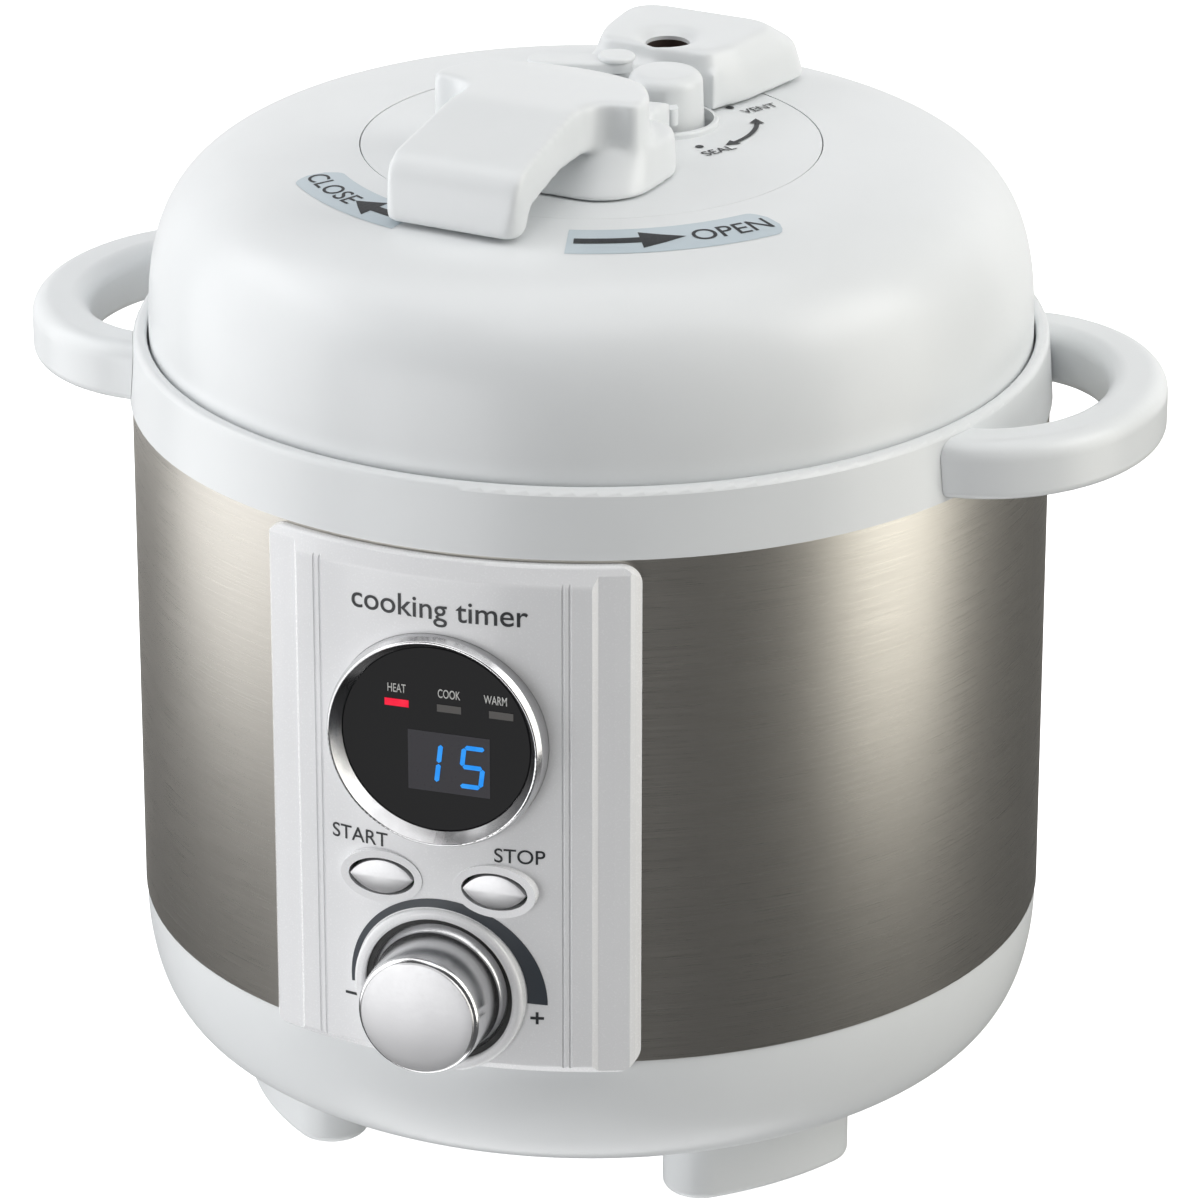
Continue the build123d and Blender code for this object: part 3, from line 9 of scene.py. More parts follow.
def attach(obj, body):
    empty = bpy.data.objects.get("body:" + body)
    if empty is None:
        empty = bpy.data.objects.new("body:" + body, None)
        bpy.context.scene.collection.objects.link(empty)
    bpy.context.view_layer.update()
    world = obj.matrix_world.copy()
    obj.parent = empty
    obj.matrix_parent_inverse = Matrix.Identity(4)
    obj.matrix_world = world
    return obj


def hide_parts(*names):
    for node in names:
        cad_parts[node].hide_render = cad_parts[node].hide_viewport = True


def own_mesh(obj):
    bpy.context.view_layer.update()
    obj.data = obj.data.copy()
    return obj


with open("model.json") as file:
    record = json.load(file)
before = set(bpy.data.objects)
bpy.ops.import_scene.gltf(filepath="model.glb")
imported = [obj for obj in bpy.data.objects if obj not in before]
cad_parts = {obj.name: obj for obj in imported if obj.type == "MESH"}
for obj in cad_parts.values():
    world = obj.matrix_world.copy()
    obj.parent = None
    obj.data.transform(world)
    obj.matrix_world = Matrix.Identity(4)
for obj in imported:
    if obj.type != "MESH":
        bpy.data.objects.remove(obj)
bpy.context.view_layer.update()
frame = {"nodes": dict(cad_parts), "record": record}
nodes = frame["nodes"]
MM = 0.001

# ---------------------------------------------------------------- camera
CAMERA_AZ = math.radians(18.0)
CAMERA_EL = math.radians(22.88)
CAMERA_DISTANCE = 1.575
AIM = Vector((0, 0, 0.123))
outward = Vector((
    math.sin(CAMERA_AZ) * math.cos(CAMERA_EL),
    -math.cos(CAMERA_AZ) * math.cos(CAMERA_EL),
    math.sin(CAMERA_EL),
))
camera_data = bpy.data.cameras.new("camera")
camera_data.lens = 194.0
camera_data.sensor_width = 36.0
camera_data.shift_x = 0.0072
camera_data.clip_end = 20
camera = bpy.data.objects.new("camera", camera_data)
camera.location = AIM + CAMERA_DISTANCE * outward
camera.rotation_euler = outward.to_track_quat("Z", "Y").to_euler()
bpy.context.scene.collection.objects.link(camera)
bpy.context.scene.camera = camera
bpy.context.scene.view_settings.view_transform = "Standard"


# ---------------------------------------------------------------- material helpers
def new_material(name):
    """A fresh node material: returns it with its node tree and its principled shader."""
    material = bpy.data.materials.new(name)
    material.use_nodes = True
    tree = material.node_tree
    return material, tree, tree.nodes["Principled BSDF"]


def set_inputs(shader, **values):
    """Sets shader sockets by name, with underscores standing for spaces."""
    for name, value in values.items():
        shader.inputs[name.replace("_", " ")].default_value = value


def noise(tree, scale, detail=3.0, vector=None, roughness=0.5):
    node = tree.nodes.new("ShaderNodeTexNoise")
    node.inputs["Scale"].default_value = scale
    node.inputs["Detail"].default_value = detail
    node.inputs["Roughness"].default_value = roughness
    if vector is None:
        vector = tree.nodes.new("ShaderNodeTexCoord").outputs["Object"]
    tree.links.new(vector, node.inputs["Vector"])
    return node.outputs["Fac"]


def remap(tree, value, low, high):
    node = tree.nodes.new("ShaderNodeMapRange")
    node.inputs["From Min"].default_value = 0.3
    node.inputs["From Max"].default_value = 0.7
    node.inputs["To Min"].default_value = low
    node.inputs["To Max"].default_value = high
    tree.links.new(value, node.inputs["Value"])
    return node.outputs["Result"]


def mottle(tree, value, dark, light):
    node = tree.nodes.new("ShaderNodeMix")
    node.data_type = "RGBA"
    node.inputs["A"].default_value = (*dark, 1)
    node.inputs["B"].default_value = (*light, 1)
    tree.links.new(value, node.inputs["Factor"])
    return node.outputs["Result"]


def bump(tree, shader, height, distance, strength=0.5):
    node = tree.nodes.new("ShaderNodeBump")
    node.inputs["Strength"].default_value = strength
    node.inputs["Distance"].default_value = distance
    tree.links.new(height, node.inputs["Height"])
    tree.links.new(node.outputs["Normal"], shader.inputs["Normal"])


def plastic(
    name, color, rough=0.35, spread=0.06, grain=900, depth=0.00002,
    coat=0.0, variation=0.02, subsurface=0.0, specular=0.5,
):
    """Moulded plastic: faint mottling, uneven gloss and a fine grain."""
    material, tree, shader = new_material(name)
    broad = noise(tree, 45, 4)
    dark = tuple(c * (1 - variation) for c in color)
    tree.links.new(mottle(tree, remap(tree, broad, 0, 1), dark, color), shader.inputs["Base Color"])
    fine = noise(tree, grain, 2)
    tree.links.new(remap(tree, fine, rough - spread / 2, rough + spread / 2), shader.inputs["Roughness"])
    bump(tree, shader, fine, depth, 0.35)
    set_inputs(shader, Coat_Weight=coat, Coat_Roughness=0.12, IOR=1.49, Specular_IOR_Level=specular)
    if subsurface:
        set_inputs(shader, Subsurface_Weight=subsurface, Subsurface_Radius=(0.004, 0.004, 0.004))
    return material


def metal(name, color, rough, spread=0.08, grain=600, depth=0.00001, anisotropic=0.0):
    """Plain metal with uneven gloss and small surface marks."""
    material, tree, shader = new_material(name)
    set_inputs(shader, Metallic=1.0, Anisotropic=anisotropic)
    broad = noise(tree, 60, 4)
    dark = tuple(c * 0.93 for c in color)
    tree.links.new(mottle(tree, remap(tree, broad, 0, 1), dark, color), shader.inputs["Base Color"])
    fine = noise(tree, grain, 3)
    smoothest = max(0.02, rough - spread / 2)
    tree.links.new(remap(tree, fine, smoothest, rough + spread / 2), shader.inputs["Roughness"])
    bump(tree, shader, fine, depth, 0.3)
    return material


def round_coordinates(tree, around, along):
    """A texture vector that runs round the Z axis and up it, at two different scales."""
    coordinates = tree.nodes.new("ShaderNodeTexCoord").outputs["Object"]
    parts = tree.nodes.new("ShaderNodeSeparateXYZ")
    tree.links.new(coordinates, parts.inputs["Vector"])
    angle = tree.nodes.new("ShaderNodeMath")
    angle.operation = "ARCTAN2"
    tree.links.new(parts.outputs["Y"], angle.inputs[0])
    tree.links.new(parts.outputs["X"], angle.inputs[1])
    scaled = []
    for source, scale in ((angle.outputs[0], around), (parts.outputs["Z"], along)):
        node = tree.nodes.new("ShaderNodeMath")
        node.operation = "MULTIPLY"
        node.inputs[1].default_value = scale
        tree.links.new(source, node.inputs[0])
        scaled.append(node.outputs[0])
    joined = tree.nodes.new("ShaderNodeCombineXYZ")
    tree.links.new(scaled[0], joined.inputs["X"])
    tree.links.new(scaled[1], joined.inputs["Y"])
    return joined.outputs["Vector"]


def brushed(
    name, color, dark, rough, around=9, along=5200, anisotropic=0.75, depth=0.00002, uneven=0.07, scratch=0.4
):
    """Sheet metal brushed round the Z axis: long fine scratches that spread the highlights upright."""
    material, tree, shader = new_material(name)
    set_inputs(shader, Metallic=1.0, Anisotropic=anisotropic)
    scratches = noise(tree, 1, 5, round_coordinates(tree, around, along), 0.65)
    bands = noise(tree, 1, 3, round_coordinates(tree, around * 0.6, along * 0.12), 0.6)
    total = tree.nodes.new("ShaderNodeMath")
    total.operation = "MULTIPLY_ADD"
    total.inputs[1].default_value = 0.6
    tree.links.new(scratches, total.inputs[0])
    half = tree.nodes.new("ShaderNodeMath")
    half.operation = "MULTIPLY"
    half.inputs[1].default_value = 0.4
    tree.links.new(bands, half.inputs[0])
    tree.links.new(half.outputs[0], total.inputs[2])
    shade = remap(tree, total.outputs[0], 0, 1)
    tree.links.new(mottle(tree, shade, dark, color), shader.inputs["Base Color"])
    tree.links.new(remap(tree, scratches, rough - uneven, rough + uneven), shader.inputs["Roughness"])
    tangent = tree.nodes.new("ShaderNodeTangent")
    tangent.direction_type = "RADIAL"
    tangent.axis = "Z"
    tree.links.new(tangent.outputs["Tangent"], shader.inputs["Tangent"])
    bump(tree, shader, scratches, depth, scratch)
    return material


def glowing(name, color, strength):
    material, tree, shader = new_material(name)
    flicker = noise(tree, 400, 2)
    pale = tuple(min(1, c * 1.15 + 0.02) for c in color)
    tree.links.new(mottle(tree, remap(tree, flicker, 0, 1), color, pale), shader.inputs["Emission Color"])
    unlit = (*(c * 0.2 for c in color), 1)
    set_inputs(shader, Base_Color=unlit, Emission_Strength=strength, Roughness=0.5, Specular_IOR_Level=0.1)
    return material


# ---------------------------------------------------------------- materials
WHITE = (0.80, 0.82, 0.83)
white_shell = plastic("white_shell", WHITE, rough=0.30, spread=0.05, grain=1500, depth=0.00001)
pearl = plastic(
    "pearl_panel", (0.86, 0.865, 0.88), rough=0.26, spread=0.05, grain=2400, depth=0.00001, coat=0.25
)
steel_jacket = brushed(
    "brushed_jacket", (0.61, 0.585, 0.54), (0.54, 0.515, 0.47),
    rough=0.30, around=4, along=9000, uneven=0.05, scratch=0.2,
)
chrome = metal("chrome", (0.80, 0.80, 0.81), 0.18, spread=0.04, grain=300, depth=0.000002)
satin = metal("satin_chrome", (0.53, 0.53, 0.54), 0.36, spread=0.06, grain=1500, depth=0.000004)
bezel_chrome = metal("bezel_chrome", (0.70, 0.70, 0.71), 0.22, spread=0.05, grain=500, depth=0.000002)
pin_red = plastic("pin_red", (0.05, 0.006, 0.005), rough=0.45, spread=0.1)
black_lens = plastic(
    "black_lens", (0.006, 0.006, 0.007), rough=0.10, spread=0.02, grain=300, depth=0.000001, specular=0.1
)
dark_rubber = plastic("dark_rubber", (0.05, 0.05, 0.05), rough=0.75, spread=0.15, grain=1200, depth=0.00005)
silicone = plastic("silicone", (0.66, 0.66, 0.64), rough=0.5, spread=0.1, grain=700, subsurface=0.2)
pot_coating = plastic("pot_coating", (0.055, 0.055, 0.06), rough=0.42, spread=0.14, grain=1800, depth=0.00003)
spun_aluminium = brushed(
    "spun_aluminium", (0.72, 0.73, 0.74), (0.62, 0.63, 0.64), rough=0.34, around=5, along=2600
)
cast_aluminium = metal("cast_aluminium", (0.56, 0.57, 0.58), 0.52, spread=0.2, grain=500, depth=0.00006)
plain_steel = metal("plain_steel", (0.55, 0.55, 0.55), 0.32, spread=0.12)
lid_steel = brushed("lid_steel", (0.66, 0.66, 0.66), (0.58, 0.58, 0.58), rough=0.28, around=6, along=2600)
board_green = plastic("board_green", (0.03, 0.16, 0.06), rough=0.4, grain=800)
black_plastic = plastic(
    "black_plastic", (0.02, 0.02, 0.02), rough=0.55, spread=0.14, grain=900, depth=0.00004
)
blue_plastic = plastic("blue_plastic", (0.02, 0.06, 0.30), rough=0.3)
grey_plastic = plastic("grey_plastic", (0.22, 0.23, 0.25), rough=0.5)
brass = metal("brass_pins", (0.70, 0.53, 0.25), 0.25)
red_lamp = plastic("red_lamp", (0.50, 0.01, 0.03), rough=0.2)
fibre_sleeve = plastic("fibre_sleeve", (0.62, 0.60, 0.54), rough=0.8, spread=0.2, grain=1500, depth=0.00008)
BY_SLOT = {
    "white_shell": white_shell,
    "pearl_panel": pearl,
    "brushed_steel": steel_jacket,
    "chrome_trim": chrome,
    "black_lens": black_lens,
    "dark_rubber": dark_rubber,
    "silicone": silicone,
    "pot_coating": pot_coating,
    "spun_aluminium": spun_aluminium,
    "cast_aluminium": cast_aluminium,
    "plain_steel": plain_steel,
    "lid_steel": lid_steel,
    "board_green": board_green,
    "black_plastic": black_plastic,
    "blue_plastic": blue_plastic,
    "grey_plastic": grey_plastic,
    "brass_pins": brass,
    "red_lamp": red_lamp,
    "fibre_sleeve": fibre_sleeve,
}
for entry in frame["record"]["subparts"]:
    part = nodes[entry["node"]]
    part.data.materials.clear()
    part.data.materials.append(BY_SLOT[entry["material_slot"]])
nodes["float_pin"].data.materials[0] = pin_red
nodes["display_bezel"].data.materials[0] = bezel_chrome


# ---------------------------------------------------------------- shape helpers (millimetres in, metres out)
def link(name, mesh, material, angle=30):
    """A shaded object made from a mesh."""
    for polygon in mesh.polygons:
        polygon.use_smooth = True
    mesh.set_sharp_from_angle(angle=math.radians(angle))
    mesh.materials.clear()
    mesh.materials.append(material)
    thing = bpy.data.objects.new(name, mesh)
    bpy.context.scene.collection.objects.link(thing)
    return thing


def hand_over(thing, body, slot, *replaced):
    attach(thing, body)
    if replaced:
        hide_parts(*replaced)
    return thing


def rounded(corners, steps=6):
    """A closed outline from (x, y, radius) corners, with each corner rounded by its own radius."""
    outline = []
    for i, (x, y, radius) in enumerate(corners):
        here = Vector((x, y))
        before = (Vector(corners[i - 1][:2]) - here).normalized()
        after = (Vector(corners[(i + 1) % len(corners)][:2]) - here).normalized()
        half = before.angle(after, math.pi) / 2
        if radius <= 0 or half > math.radians(88):
            outline.append(tuple(here))
            continue
        centre = here + (before + after).normalized() * radius / math.sin(half)
        start = here + before * radius / math.tan(half) - centre
        end = here + after * radius / math.tan(half) - centre
        sweep = start.angle_signed(end)
        for step in range(steps + 1):
            turned = start.copy()
            turned.rotate(Matrix.Rotation(-sweep * step / steps, 2))
            outline.append(tuple(centre + turned))
    return outline


def loft(low, z_low, high, z_high, place=None):
    """A closed solid between two outlines with the same number of points."""
    n = len(low)
    vertices = [(x, y, z_low) for x, y in low] + [(x, y, z_high) for x, y in high]
    if place:
        vertices = [place(*v) for v in vertices]
    faces = [(i, (i + 1) % n, n + (i + 1) % n, n + i) for i in range(n)]
    faces += [tuple(reversed(range(n))), tuple(range(n, 2 * n))]
    mesh = bpy.data.meshes.new("solid")
    mesh.from_pydata([Vector(v) * MM for v in vertices], [], faces)
    shape = bmesh.new()
    shape.from_mesh(mesh)
    bmesh.ops.recalc_face_normals(shape, faces=shape.faces)
    shape.to_mesh(mesh)
    shape.free()
    solid = bpy.data.objects.new("solid", mesh)
    bpy.context.scene.collection.objects.link(solid)
    return solid


def modified(thing, kind, **settings):
    """Applies one modifier, and drops the tool object that it used."""
    modifier = thing.modifiers.new("step", kind)
    for key, value in settings.items():
        setattr(modifier, key, value)
    evaluated = thing.evaluated_get(bpy.context.evaluated_depsgraph_get())
    mesh = bpy.data.meshes.new_from_object(evaluated)
    thing.modifiers.clear()
    thing.data = mesh
    if settings.get("object"):
        bpy.data.objects.remove(settings["object"])
    return thing


def cut(thing, tool, operation="DIFFERENCE"):
    return modified(thing, "BOOLEAN", operation=operation, solver="EXACT", object=tool)


def join(things):
    """One mesh out of several solids, which may pass through each other."""
    shape = bmesh.new()
    for thing in things:
        shape.from_mesh(thing.data)
    mesh = bpy.data.meshes.new("joined")
    shape.to_mesh(mesh)
    shape.free()
    for thing in things[1:]:
        bpy.data.objects.remove(thing)
    things[0].data = mesh
    return things[0]


def circle(x, y, radius, count=64):
    return [
        (x + radius * math.cos(2 * math.pi * i / count), y + radius * math.sin(2 * math.pi * i / count))
        for i in range(count)
    ]


def ribbon(name, rows, place, material, across=4):
    """A thin patch laid on a surface by place(along, over).

    Each row is (distance along, low edge, high edge).
    """
    vertices, faces = [], []
    for along, low, high in rows:
        vertices += [place(along, low + (high - low) * j / across) * MM for j in range(across + 1)]
    wide = across + 1
    for i in range(len(rows) - 1):
        for j in range(across):
            first = i * wide + j
            faces.append((first, first + wide, first + wide + 1, first + 1))
    mesh = bpy.data.meshes.new(name)
    mesh.from_pydata(vertices, [], faces)
    return link(name, mesh, material, 60)


def lettering(name, words, height, place, material):
    """Generic words in the built-in face, scaled to a capital height and laid on a surface by place(x, y)."""
    curve = bpy.data.curves.new(name, "FONT")
    curve.body = words
    curve.align_x = "CENTER"
    curve.offset = 0.006
    holder = bpy.data.objects.new("holder", curve)
    bpy.context.scene.collection.objects.link(holder)
    bpy.context.view_layer.update()
    mesh = bpy.data.meshes.new_from_object(holder)
    bpy.data.objects.remove(holder)
    scale = height / max(v.co.y for v in mesh.vertices)
    for vertex in mesh.vertices:
        vertex.co = place(vertex.co.x * scale, vertex.co.y * scale) * MM
    return link(name, mesh, material, 60)


def spread(first, last, steps):
    return [first + (last - first) * i / steps for i in range(steps + 1)]


# ---------------------------------------------------------------- spring under the thermal sensor
spring = link("sensor_coil", nodes["sensor_spring"].data.copy(), plain_steel)
hand_over(spring, "cooker", "plain_steel", "sensor_spring")
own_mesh(spring)

# ---------------------------------------------------------------- surfaces that markings lie on
PANEL_SKIN = 114.07    # radius just outside the panel's curved face
LID_R = 105.67
LID_SPRING = 195.3     # height where the dome starts to curve in
LID_RISE = 45.6
CROWN_POWER = 7        # how flat the dome's crown is, and how round its shoulder
SHOULDER_POWER = 2.863
LENS_Y = -114.25


def on_drum(azimuth, z, radius=PANEL_SKIN):
    a = math.radians(azimuth)
    return Vector((radius * math.sin(a), -radius * math.cos(a), z))


def on_lid(radius, azimuth, lift=0.1):
    """A point on the lid's dome, azimuth from the front towards the right."""
    a = math.radians(azimuth)
    height = LID_SPRING + LID_RISE * (1 - (radius / LID_R) ** CROWN_POWER) ** (1 / SHOULDER_POWER)
    return Vector((radius * math.sin(a), -radius * math.cos(a), height + lift))


def on_lens(x, z, proud=0.05):
    return Vector((x, LENS_Y - proud, z))


# ---------------------------------------------------------------- lid handle
# Grip, hub, spine and rear block in one soft moulding.
HANDLE_TURN = math.radians(-9.0)
ALONG = Vector((math.sin(HANDLE_TURN), -math.cos(HANDLE_TURN), 0))
ACROSS = Vector((math.cos(HANDLE_TURN), math.sin(HANDLE_TURN), 0))
SEAT = 240.95
VALVE = Vector((12.7, 18.0, 0))
VALVE_POCKET_R = 13.2
PIN_ALONG = -40.5
PIN_BORE_R = 5.3
PIN_SLEEVE_R = 5.2     # thin dark wall just inside the bore
HUB_ARC_R = 27.7
HUB_SHIFT = -1.1       # the hub's middle, across the handle
HUB_ARC_U = 29


def on_handle(u, v, z):
    return ALONG * u + ACROSS * v + Vector((0, 0, z))


def on_handle_side(u, z, v):
    return on_handle(u, v, z)


hub_arc = []
for turn in range(104, 257, 6):
    t = math.radians(turn)
    hub_arc.append((HUB_ARC_U + HUB_ARC_R * math.cos(t), HUB_ARC_R * math.sin(t) + HUB_SHIFT, 0))
plan = rounded(
    [(28, 26.5, 3)] + hub_arc + [(28, -28.7, 3)]
    + [(28, -15.5, 7), (72.4, -17.4, 4), (72.4, 17.4, 4), (28, 15.5, 7)]
)
side_profile = rounded([
    (-4, SEAT, 0), (-4, 258.2, 0), (12, 261.5, 20), (40, 262.1, 25), (69.6, 255.8, 8), (72.4, 240.6, 1.0),
    (66, 240.6, 1.2), (62.6, 246.4, 3), (46, 250.2, 8), (28.6, 250.2, 2), (28.6, SEAT, 0),
])
grip = loft(plan, SEAT - 0.3, plan, 263, on_handle)
grip = cut(grip, loft(side_profile, -40, side_profile, 40, on_handle_side), "INTERSECT")
plinth = loft(
    rounded([(40.5, -29.6, 13), (40.5, 29.6, 13), (4, 29.6, 13), (4, -29.6, 13)]), SEAT,
    rounded([(30, -27, 8), (30, 27, 8), (4, 27, 8), (4, -27, 8)]), 250.6, on_handle,
)
spine = rounded([(10, -17, 3), (10, 17, 3), (-42, 17, 3), (-42, -17, 3)])
spine = loft(spine, SEAT, spine, 251, on_handle)


def rear_outline(front, neck, waist, end, half, corner):
    return rounded([
        (front, -neck, 4), (front, neck, 4), (-42, waist, 10),
        (end, half, corner), (end, -half, corner), (-42, -waist, 10),
    ])


rear_base = rear_outline(-31.2, 16.2, 20.7, -73, 26.4, 9)
rear_middle = rear_outline(-31.6, 15.8, 19.7, -70, 24.4, 8)
rear_low = loft(rear_base, SEAT, rear_middle, 249.8, on_handle)
rear_high = loft(rear_middle, 249.8, rear_outline(-33, 14.4, 17.4, -62.4, 19, 7), 255.3, on_handle)
pin_place = on_handle(PIN_ALONG, 0, 0)
for solid in (grip, plinth, spine):
    pocket = circle(VALVE.x, VALVE.y, VALVE_POCKET_R)
    cut(solid, loft(pocket, 230, pocket, 270))
flare_low = circle(pin_place.x, pin_place.y, 5.0)
flare_high = circle(pin_place.x, pin_place.y, 8.6)
cut(rear_high, loft(flare_low, 252.9, flare_high, 256.0))
shell = join([grip, plinth, spine, rear_low, rear_high])
modified(shell, "REMESH", mode="VOXEL", voxel_size=0.6 * MM, adaptivity=0)
modified(shell, "SMOOTH", factor=0.5, iterations=45)
pin_bore = circle(pin_place.x, pin_place.y, PIN_BORE_R)
cut(shell, loft(pin_bore, 230, pin_bore, 270))
handle_shell = link("handle_shell", shell.data, white_shell, 50)
bpy.data.objects.remove(shell)
hand_over(handle_shell, "lid", "white_shell", "lid_handle")


def on_pin_wall(turn, z):
    t = math.radians(turn)
    return pin_place + Vector((PIN_SLEEVE_R * math.cos(t), PIN_SLEEVE_R * math.sin(t), z))


bore_brown = plastic("bore_brown", (0.035, 0.022, 0.016), rough=0.55, spread=0.1)
sleeve = ribbon("pin_sleeve", [(t, 242.5, 252.6) for t in spread(0, 360, 48)], on_pin_wall, bore_brown)
hand_over(sleeve, "lid", "black_plastic")

# ---------------------------------------------------------------- start and stop buttons
def pointed_oval(length, height, count=72):
    """Half-length and half-height in, closed outline out: two circle arcs that meet in points."""
    radius = (length**2 + height**2) / (2 * height)
    outline = []
    for i in range(count):
        t = 2 * math.pi * i / count
        slope = (radius - height) * abs(math.sin(t))
        reach = -slope + math.sqrt(slope**2 + 2 * radius * height - height**2)
        outline.append((reach * math.cos(t), reach * math.sin(t)))
    return outline


def dome_cap(name, x, z, outline, back, front, rise, material):
    """A closed button: flat back, straight wall up to the front edge, then a shallow dome."""
    n = len(outline)
    rings = [(1.0, back), (1.0, front + 0.5), (0.97, front)]
    rings += [(s, front - rise * (1 - s**2)) for s in (0.9, 0.8, 0.68, 0.54, 0.38, 0.2)]
    vertices = [(x + s * px, y, z + s * pz) for s, y in rings for px, pz in outline]
    vertices += [(x, front - rise, z), (x, back, z)]
    faces = []
    for ring in range(len(rings) - 1):
        for i in range(n):
            j = (i + 1) % n
            faces.append((ring * n + i, ring * n + j, ring * n + n + j, ring * n + n + i))
    last, tip = (len(rings) - 1) * n, len(vertices) - 2
    faces += [(last + i, last + (i + 1) % n, tip) for i in range(n)]
    faces += [((i + 1) % n, i, tip + 1) for i in range(n)]
    mesh = bpy.data.meshes.new(name)
    mesh.from_pydata([Vector(v) * MM for v in vertices], [], faces)
    shape = bmesh.new()
    shape.from_mesh(mesh)
    bmesh.ops.recalc_face_normals(shape, faces=shape.faces)
    shape.to_mesh(mesh)
    shape.free()
    return link(name, mesh, material, 40)


for side, body, name in ((-1, "start_key", "start_button"), (1, "stop_key", "stop_button")):
    button = dome_cap(name + "_dome", side * 13.7, 98, pointed_oval(7.8, 4.2), -111, -114.3, 0.45, satin)
    hand_over(button, body, "chrome_trim", name)

knob_face = dome_cap("knob_face", 0, 71, circle(0, 0, 13.9), -128.6, -129.6, 0.7, satin)
hand_over(knob_face, "dial", "chrome_trim")

# ---------------------------------------------------------------- markings on the panel
ink = plastic("panel_ink", (0.018, 0.020, 0.024), rough=0.4, spread=0.1, grain=1800)
arc_ink = plastic("arc_ink", (0.035, 0.043, 0.055), rough=0.35, spread=0.1, grain=1800)
KNOB_Z = 71


def around_knob(turn, radius):
    x = radius * math.cos(math.radians(turn))
    return on_drum(math.degrees(math.asin(x / 114)), KNOB_Z + radius * math.sin(math.radians(turn)))


# Places the ring of painted shade that sits round the knob's skirt.
def on_recess_shade(turn, radius):
    t = math.radians(turn)
    return Vector((radius * math.cos(t), -113.6, KNOB_Z + radius * math.sin(t)))


# A black ring of painted shade: it stands for the shadow in the recess round the knob and hides the outer
# part of the chrome skirt.
recess_shade = ribbon("knob_recess_shade", [(t, 16.6, 18.1) for t in spread(360, 0, 72)], on_recess_shade, black_plastic)
hand_over(recess_shade, "cooker", "black_plastic")
arc_rows = [(t, 20.9, 22.2 + 3.4 * ((185 - t) / 188.4) ** 1.8) for t in spread(185, -3.4, 60)]
hand_over(ribbon("dial_arc", arc_rows, around_knob, arc_ink), "cooker", "grey_plastic")
minus = ribbon("dial_minus", [(s, 65.4, 66.1) for s in spread(-12.1, -10.5, 2)], on_drum, ink)
plus_bar = ribbon("dial_plus_bar", [(s, 65.7, 66.4) for s in spread(10.9, 12.5, 2)], on_drum, ink)
plus_post = ribbon("dial_plus_post", [(s, 64.5, 67.6) for s in spread(11.53, 11.87, 1)], on_drum, ink)
for mark in (minus, plus_bar, plus_post):
    hand_over(mark, "cooker", "grey_plastic")


def drum_label(azimuth, z, radius=PANEL_SKIN):
    return lambda x, y: on_drum(azimuth + math.degrees(x / radius), z + y, radius)


for name, words, height, azimuth, z in (
    ("label_start", "START", 3.5, -9.9, 105.2),
    ("label_stop", "STOP", 3.5, 9.7, 105.2),
    ("label_heading", "cooking timer", 5.2, 0.1, 164.0),
):
    hand_over(lettering(name, words, height, drum_label(azimuth, z), ink), "cooker", "grey_plastic")

# ---------------------------------------------------------------- markings and lit parts of the display
glass_grey = plastic("window_grey", (0.060, 0.058, 0.066), rough=0.3, spread=0.06, grain=1200, specular=0.1)
lamp_grey = plastic("lamp_grey", (0.13, 0.125, 0.12), rough=0.3, spread=0.08, grain=1500, specular=0.1)
label_grey = plastic("label_grey", (0.62, 0.62, 0.60), rough=0.5, spread=0.1, grain=1500)
lit_red = glowing("lit_red", (0.85, 0.01, 0.045), 0.95)
lit_blue = glowing("lit_blue", (0.02, 0.30, 0.95), 0.85)


def on_window(x, z):
    return on_lens(x, z, 0.10)


def on_digits(x, z):
    return on_lens(x + 0.12 * (z - 128.5), z, 0.15)


window = ribbon("display_window", [(x, 121.4, 136.2) for x in (-6.8, 12.9)], on_lens, glass_grey)
hand_over(window, "cooker", "black_lens")
for name, x, material in (
    ("lamp_heat", -9.4, lit_red),
    ("lamp_cook", 3.2, lamp_grey),
    ("lamp_warm", 15.7, lamp_grey),
):
    bar = ribbon(name, [(x + dx, 141.5, 143.3) for dx in (-2.9, 2.9)], on_window, material)
    hand_over(bar, "cooker", "red_lamp" if material is lit_red else "black_lens")
for name, words, x in (
    ("label_heat", "HEAT", -9.4),
    ("label_cook", "COOK", 3.2),
    ("label_warm", "WARM", 14.4),
):
    place = lambda dx, dz, x=x: on_window(x + 0.6 * dx, 145.0 + dz)
    hand_over(lettering(name, words, 2.1, place, label_grey), "cooker", "black_lens")


def bar_segment(name, x0, z0, x1, z1, thick=1.15):
    """One bar of a lit digit, with pointed ends."""
    start, end = Vector((x0, z0)), Vector((x1, z1))
    run = (end - start).normalized()
    side = Vector((-run.y, run.x))
    length = (end - start).length
    half = thick / 2
    rows = [(0.12, 0, 0), (half, -half, half), (length - half, -half, half), (length - 0.12, 0, 0)]

    def place(along, over):
        spot = start + run * along + side * over
        return on_digits(spot.x, spot.y)

    hand_over(ribbon(name, rows, place, lit_blue), "cooker", "blue_plastic")


LOW, MIDDLE, HIGH = 123.8, 128.6, 133.4
bar_segment("digit_one_low", 0.6, LOW, 0.6, MIDDLE)
bar_segment("digit_one_high", 0.6, MIDDLE, 0.6, HIGH)
LEFT, RIGHT = 6.2, 11.2
bar_segment("digit_five_top", LEFT, HIGH, RIGHT, HIGH)
bar_segment("digit_five_left", LEFT, MIDDLE, LEFT, HIGH)
bar_segment("digit_five_middle", LEFT, MIDDLE, RIGHT, MIDDLE)
bar_segment("digit_five_right", RIGHT, LOW, RIGHT, MIDDLE)
bar_segment("digit_five_foot", LEFT, LOW, RIGHT, LOW)

# ---------------------------------------------------------------- markings on the lid
foil = plastic("sticker_foil", (0.55, 0.63, 0.68), rough=0.32, spread=0.08, grain=2000, coat=0.3)
lid_ink = plastic("lid_ink", (0.02, 0.022, 0.026), rough=0.4, spread=0.1, grain=1800)


def lid_ring(lift):
    return lambda azimuth, radius: on_lid(radius, azimuth, lift)


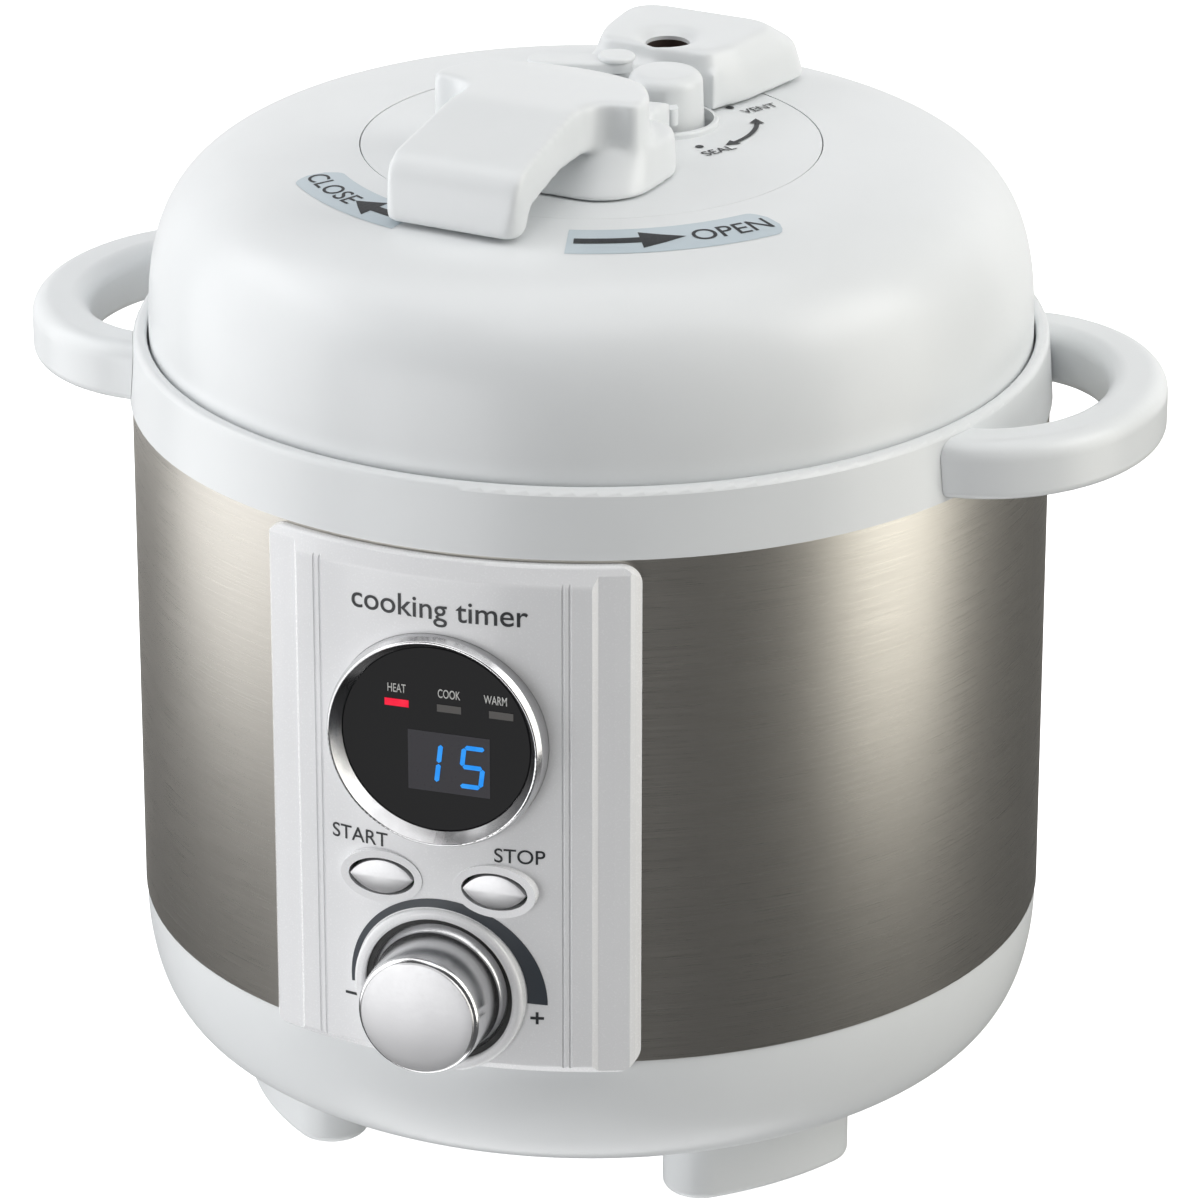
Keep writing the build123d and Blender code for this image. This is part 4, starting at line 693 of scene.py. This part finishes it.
def round_end(distance, reach):
    """How much of a strip's half-width is left at a distance from its rounded end."""
    return math.sqrt(max(0, 1 - (1 - min(1, distance / reach)) ** 2))


def sticker(name, inner, outer, square_end, rounded_end, reach=3.0):
    middle, half = (inner + outer) / 2, (outer - inner) / 2
    rows = []
    for azimuth in spread(min(square_end, rounded_end), max(square_end, rounded_end), 48):
        width = half * max(0.35, round_end(abs(rounded_end - azimuth), reach))
        rows.append((azimuth, middle - width, middle + width))
    hand_over(ribbon(name, rows, lid_ring(0.08), foil), "lid", "grey_plastic")


def lid_arrow(name, radius, tail, neck, tip, thin=1.4, head=4.3):
    rows = [(a, radius - thin, radius + thin) for a in spread(tail, neck, 12)]
    for a, share in ((neck, 1.0), ((neck + tip) / 2, 0.5), (tip, 0.0)):
        rows.append((a, radius - head * share, radius + head * share))
    hand_over(ribbon(name, rows, lid_ring(0.13), lid_ink), "lid", "grey_plastic")


def lid_label(name, words, height, radius, azimuth):
    def place(x, y):
        return on_lid(radius + height / 2 - y, azimuth + math.degrees(x / radius), 0.13)

    hand_over(lettering(name, words, height, place, lid_ink), "lid", "grey_plastic")


sticker("sticker_close", 62, 74, -20, -53)
lid_arrow("arrow_close", 68, -22, -29, -35)
lid_label("label_close", "CLOSE", 5.0, 68.2, -43.8)
sticker("sticker_open", 62, 75, 13.3, 55.5)
lid_arrow("arrow_open", 68.5, 14.6, 27.4, 36.4)
lid_label("label_open", "OPEN", 5.5, 68.6, 45.9)


def round_valve(turn, radius):
    """A point on the lid by its turn and distance from the steam valve's axis."""
    spot = VALVE + radius * Vector((math.cos(math.radians(turn)), math.sin(math.radians(turn)), 0))
    return on_lid(math.hypot(spot.x, spot.y), math.degrees(math.atan2(spot.x, -spot.y)), 0.1)


DOT_RING_R = 19.3
valve_rows = [(-32, 21.8, 21.8), (-23, 20.0, 23.6), (-23, 21.2, 22.4)]
valve_rows += [(t, 21.2, 22.4) for t in spread(-20, 14, 10)]
valve_rows += [(17, 21.2, 22.4), (17, 20.0, 23.6), (26, 21.8, 21.8)]
hand_over(ribbon("valve_arrow", valve_rows, round_valve, lid_ink), "lid", "grey_plastic")
for name, turn in (("valve_dot_low", -48), ("valve_dot_high", 54)):
    dots = []
    for t in spread(math.pi, 0, 12):
        dots.append((turn + 3.0 * math.cos(t), DOT_RING_R - math.sin(t), DOT_RING_R + math.sin(t)))
    hand_over(ribbon(name, dots, round_valve, lid_ink), "lid", "grey_plastic")


def flat_label(name, words, height, x0, y0, turn):
    run = Vector((math.cos(math.radians(turn)), math.sin(math.radians(turn)), 0))
    rise = Vector((-run.y, run.x, 0))

    def place(x, y):
        spot = Vector((x0, y0, 0)) + run * x + rise * y
        return on_lid(math.hypot(spot.x, spot.y), math.degrees(math.atan2(spot.x, -spot.y)), 0.1)

    hand_over(lettering(name, words, height, place, lid_ink), "lid", "grey_plastic")


flat_label("label_seal", "SEAL", 3.0, 31.9, 1.4, 55)
flat_label("label_vent", "VENT", 2.8, 32.0, 34.6, 55)

# ---------------------------------------------------------------- floor, world and lights
def area_light(name, azimuth, elevation, distance, size, power, color=(1, 1, 1), aim=(0, 0, 0.12)):
    """A soft rectangular light, placed by its direction from the object: azimuth from -Y towards +X."""
    data = bpy.data.lights.new(name, "AREA")
    data.shape = "RECTANGLE"
    data.size, data.size_y = size
    data.energy = power
    data.color = color
    light = bpy.data.objects.new(name, data)
    az, el = math.radians(azimuth), math.radians(elevation)
    direction = Vector((math.sin(az) * math.cos(el), -math.cos(az) * math.cos(el), math.sin(el)))
    light.location = Vector(aim) + distance * direction
    light.rotation_euler = direction.to_track_quat("Z", "Y").to_euler()
    light.visible_camera = False
    bpy.context.scene.collection.objects.link(light)


area_light("softbox_top", 40, 84, 1.5, (1.5, 1.5), 10.5)
area_light("softbox_left", -77, 11, 1.3, (1.3, 1.7), 13)
area_light("softbox_left_high", -85, 45, 1.5, (0.8, 0.8), 3)
area_light("softbox_right_high", 95, 40, 1.5, (0.9, 0.9), 5)
area_light("softbox_below", -20, -80, 1.2, (1.2, 1.2), 7.5)
area_light("softbox_back", 181, 8, 1.7, (2.6, 1.6), 10)
area_light("softbox_back_left", -125, 8, 1.5, (0.8, 1.5), 3)
area_light("softbox_right", 95, 11, 1.3, (0.8, 1.7), 11, (1.0, 0.98, 0.91))
area_light("softbox_front", -22, -8, 1.4, (0.9, 1.1), 7.6)

floor_mesh = bpy.data.meshes.new("floor")
floor_mesh.from_pydata([(-8, -8, 0), (8, -8, 0), (8, 8, 0), (-8, 8, 0)], [], [(0, 1, 2, 3)])
floor = bpy.data.objects.new("floor", floor_mesh)
floor.visible_glossy = False
floor.visible_diffuse = False
floor.visible_shadow = False
bpy.context.scene.collection.objects.link(floor)
floor_material, _, floor_shader = new_material("pale_floor")
set_inputs(floor_shader, Base_Color=(0.95, 0.95, 0.95, 1), Roughness=0.9)
set_inputs(floor_shader, Emission_Color=(1, 1, 1, 1), Emission_Strength=0.8)
floor_mesh.materials.append(floor_material)

world = bpy.data.worlds.new("studio")
world.use_nodes = True
world.node_tree.nodes["Background"].inputs["Color"].default_value = (0.97, 0.98, 1.0, 1)
world.node_tree.nodes["Background"].inputs["Strength"].default_value = 0.09
bpy.context.scene.world = world
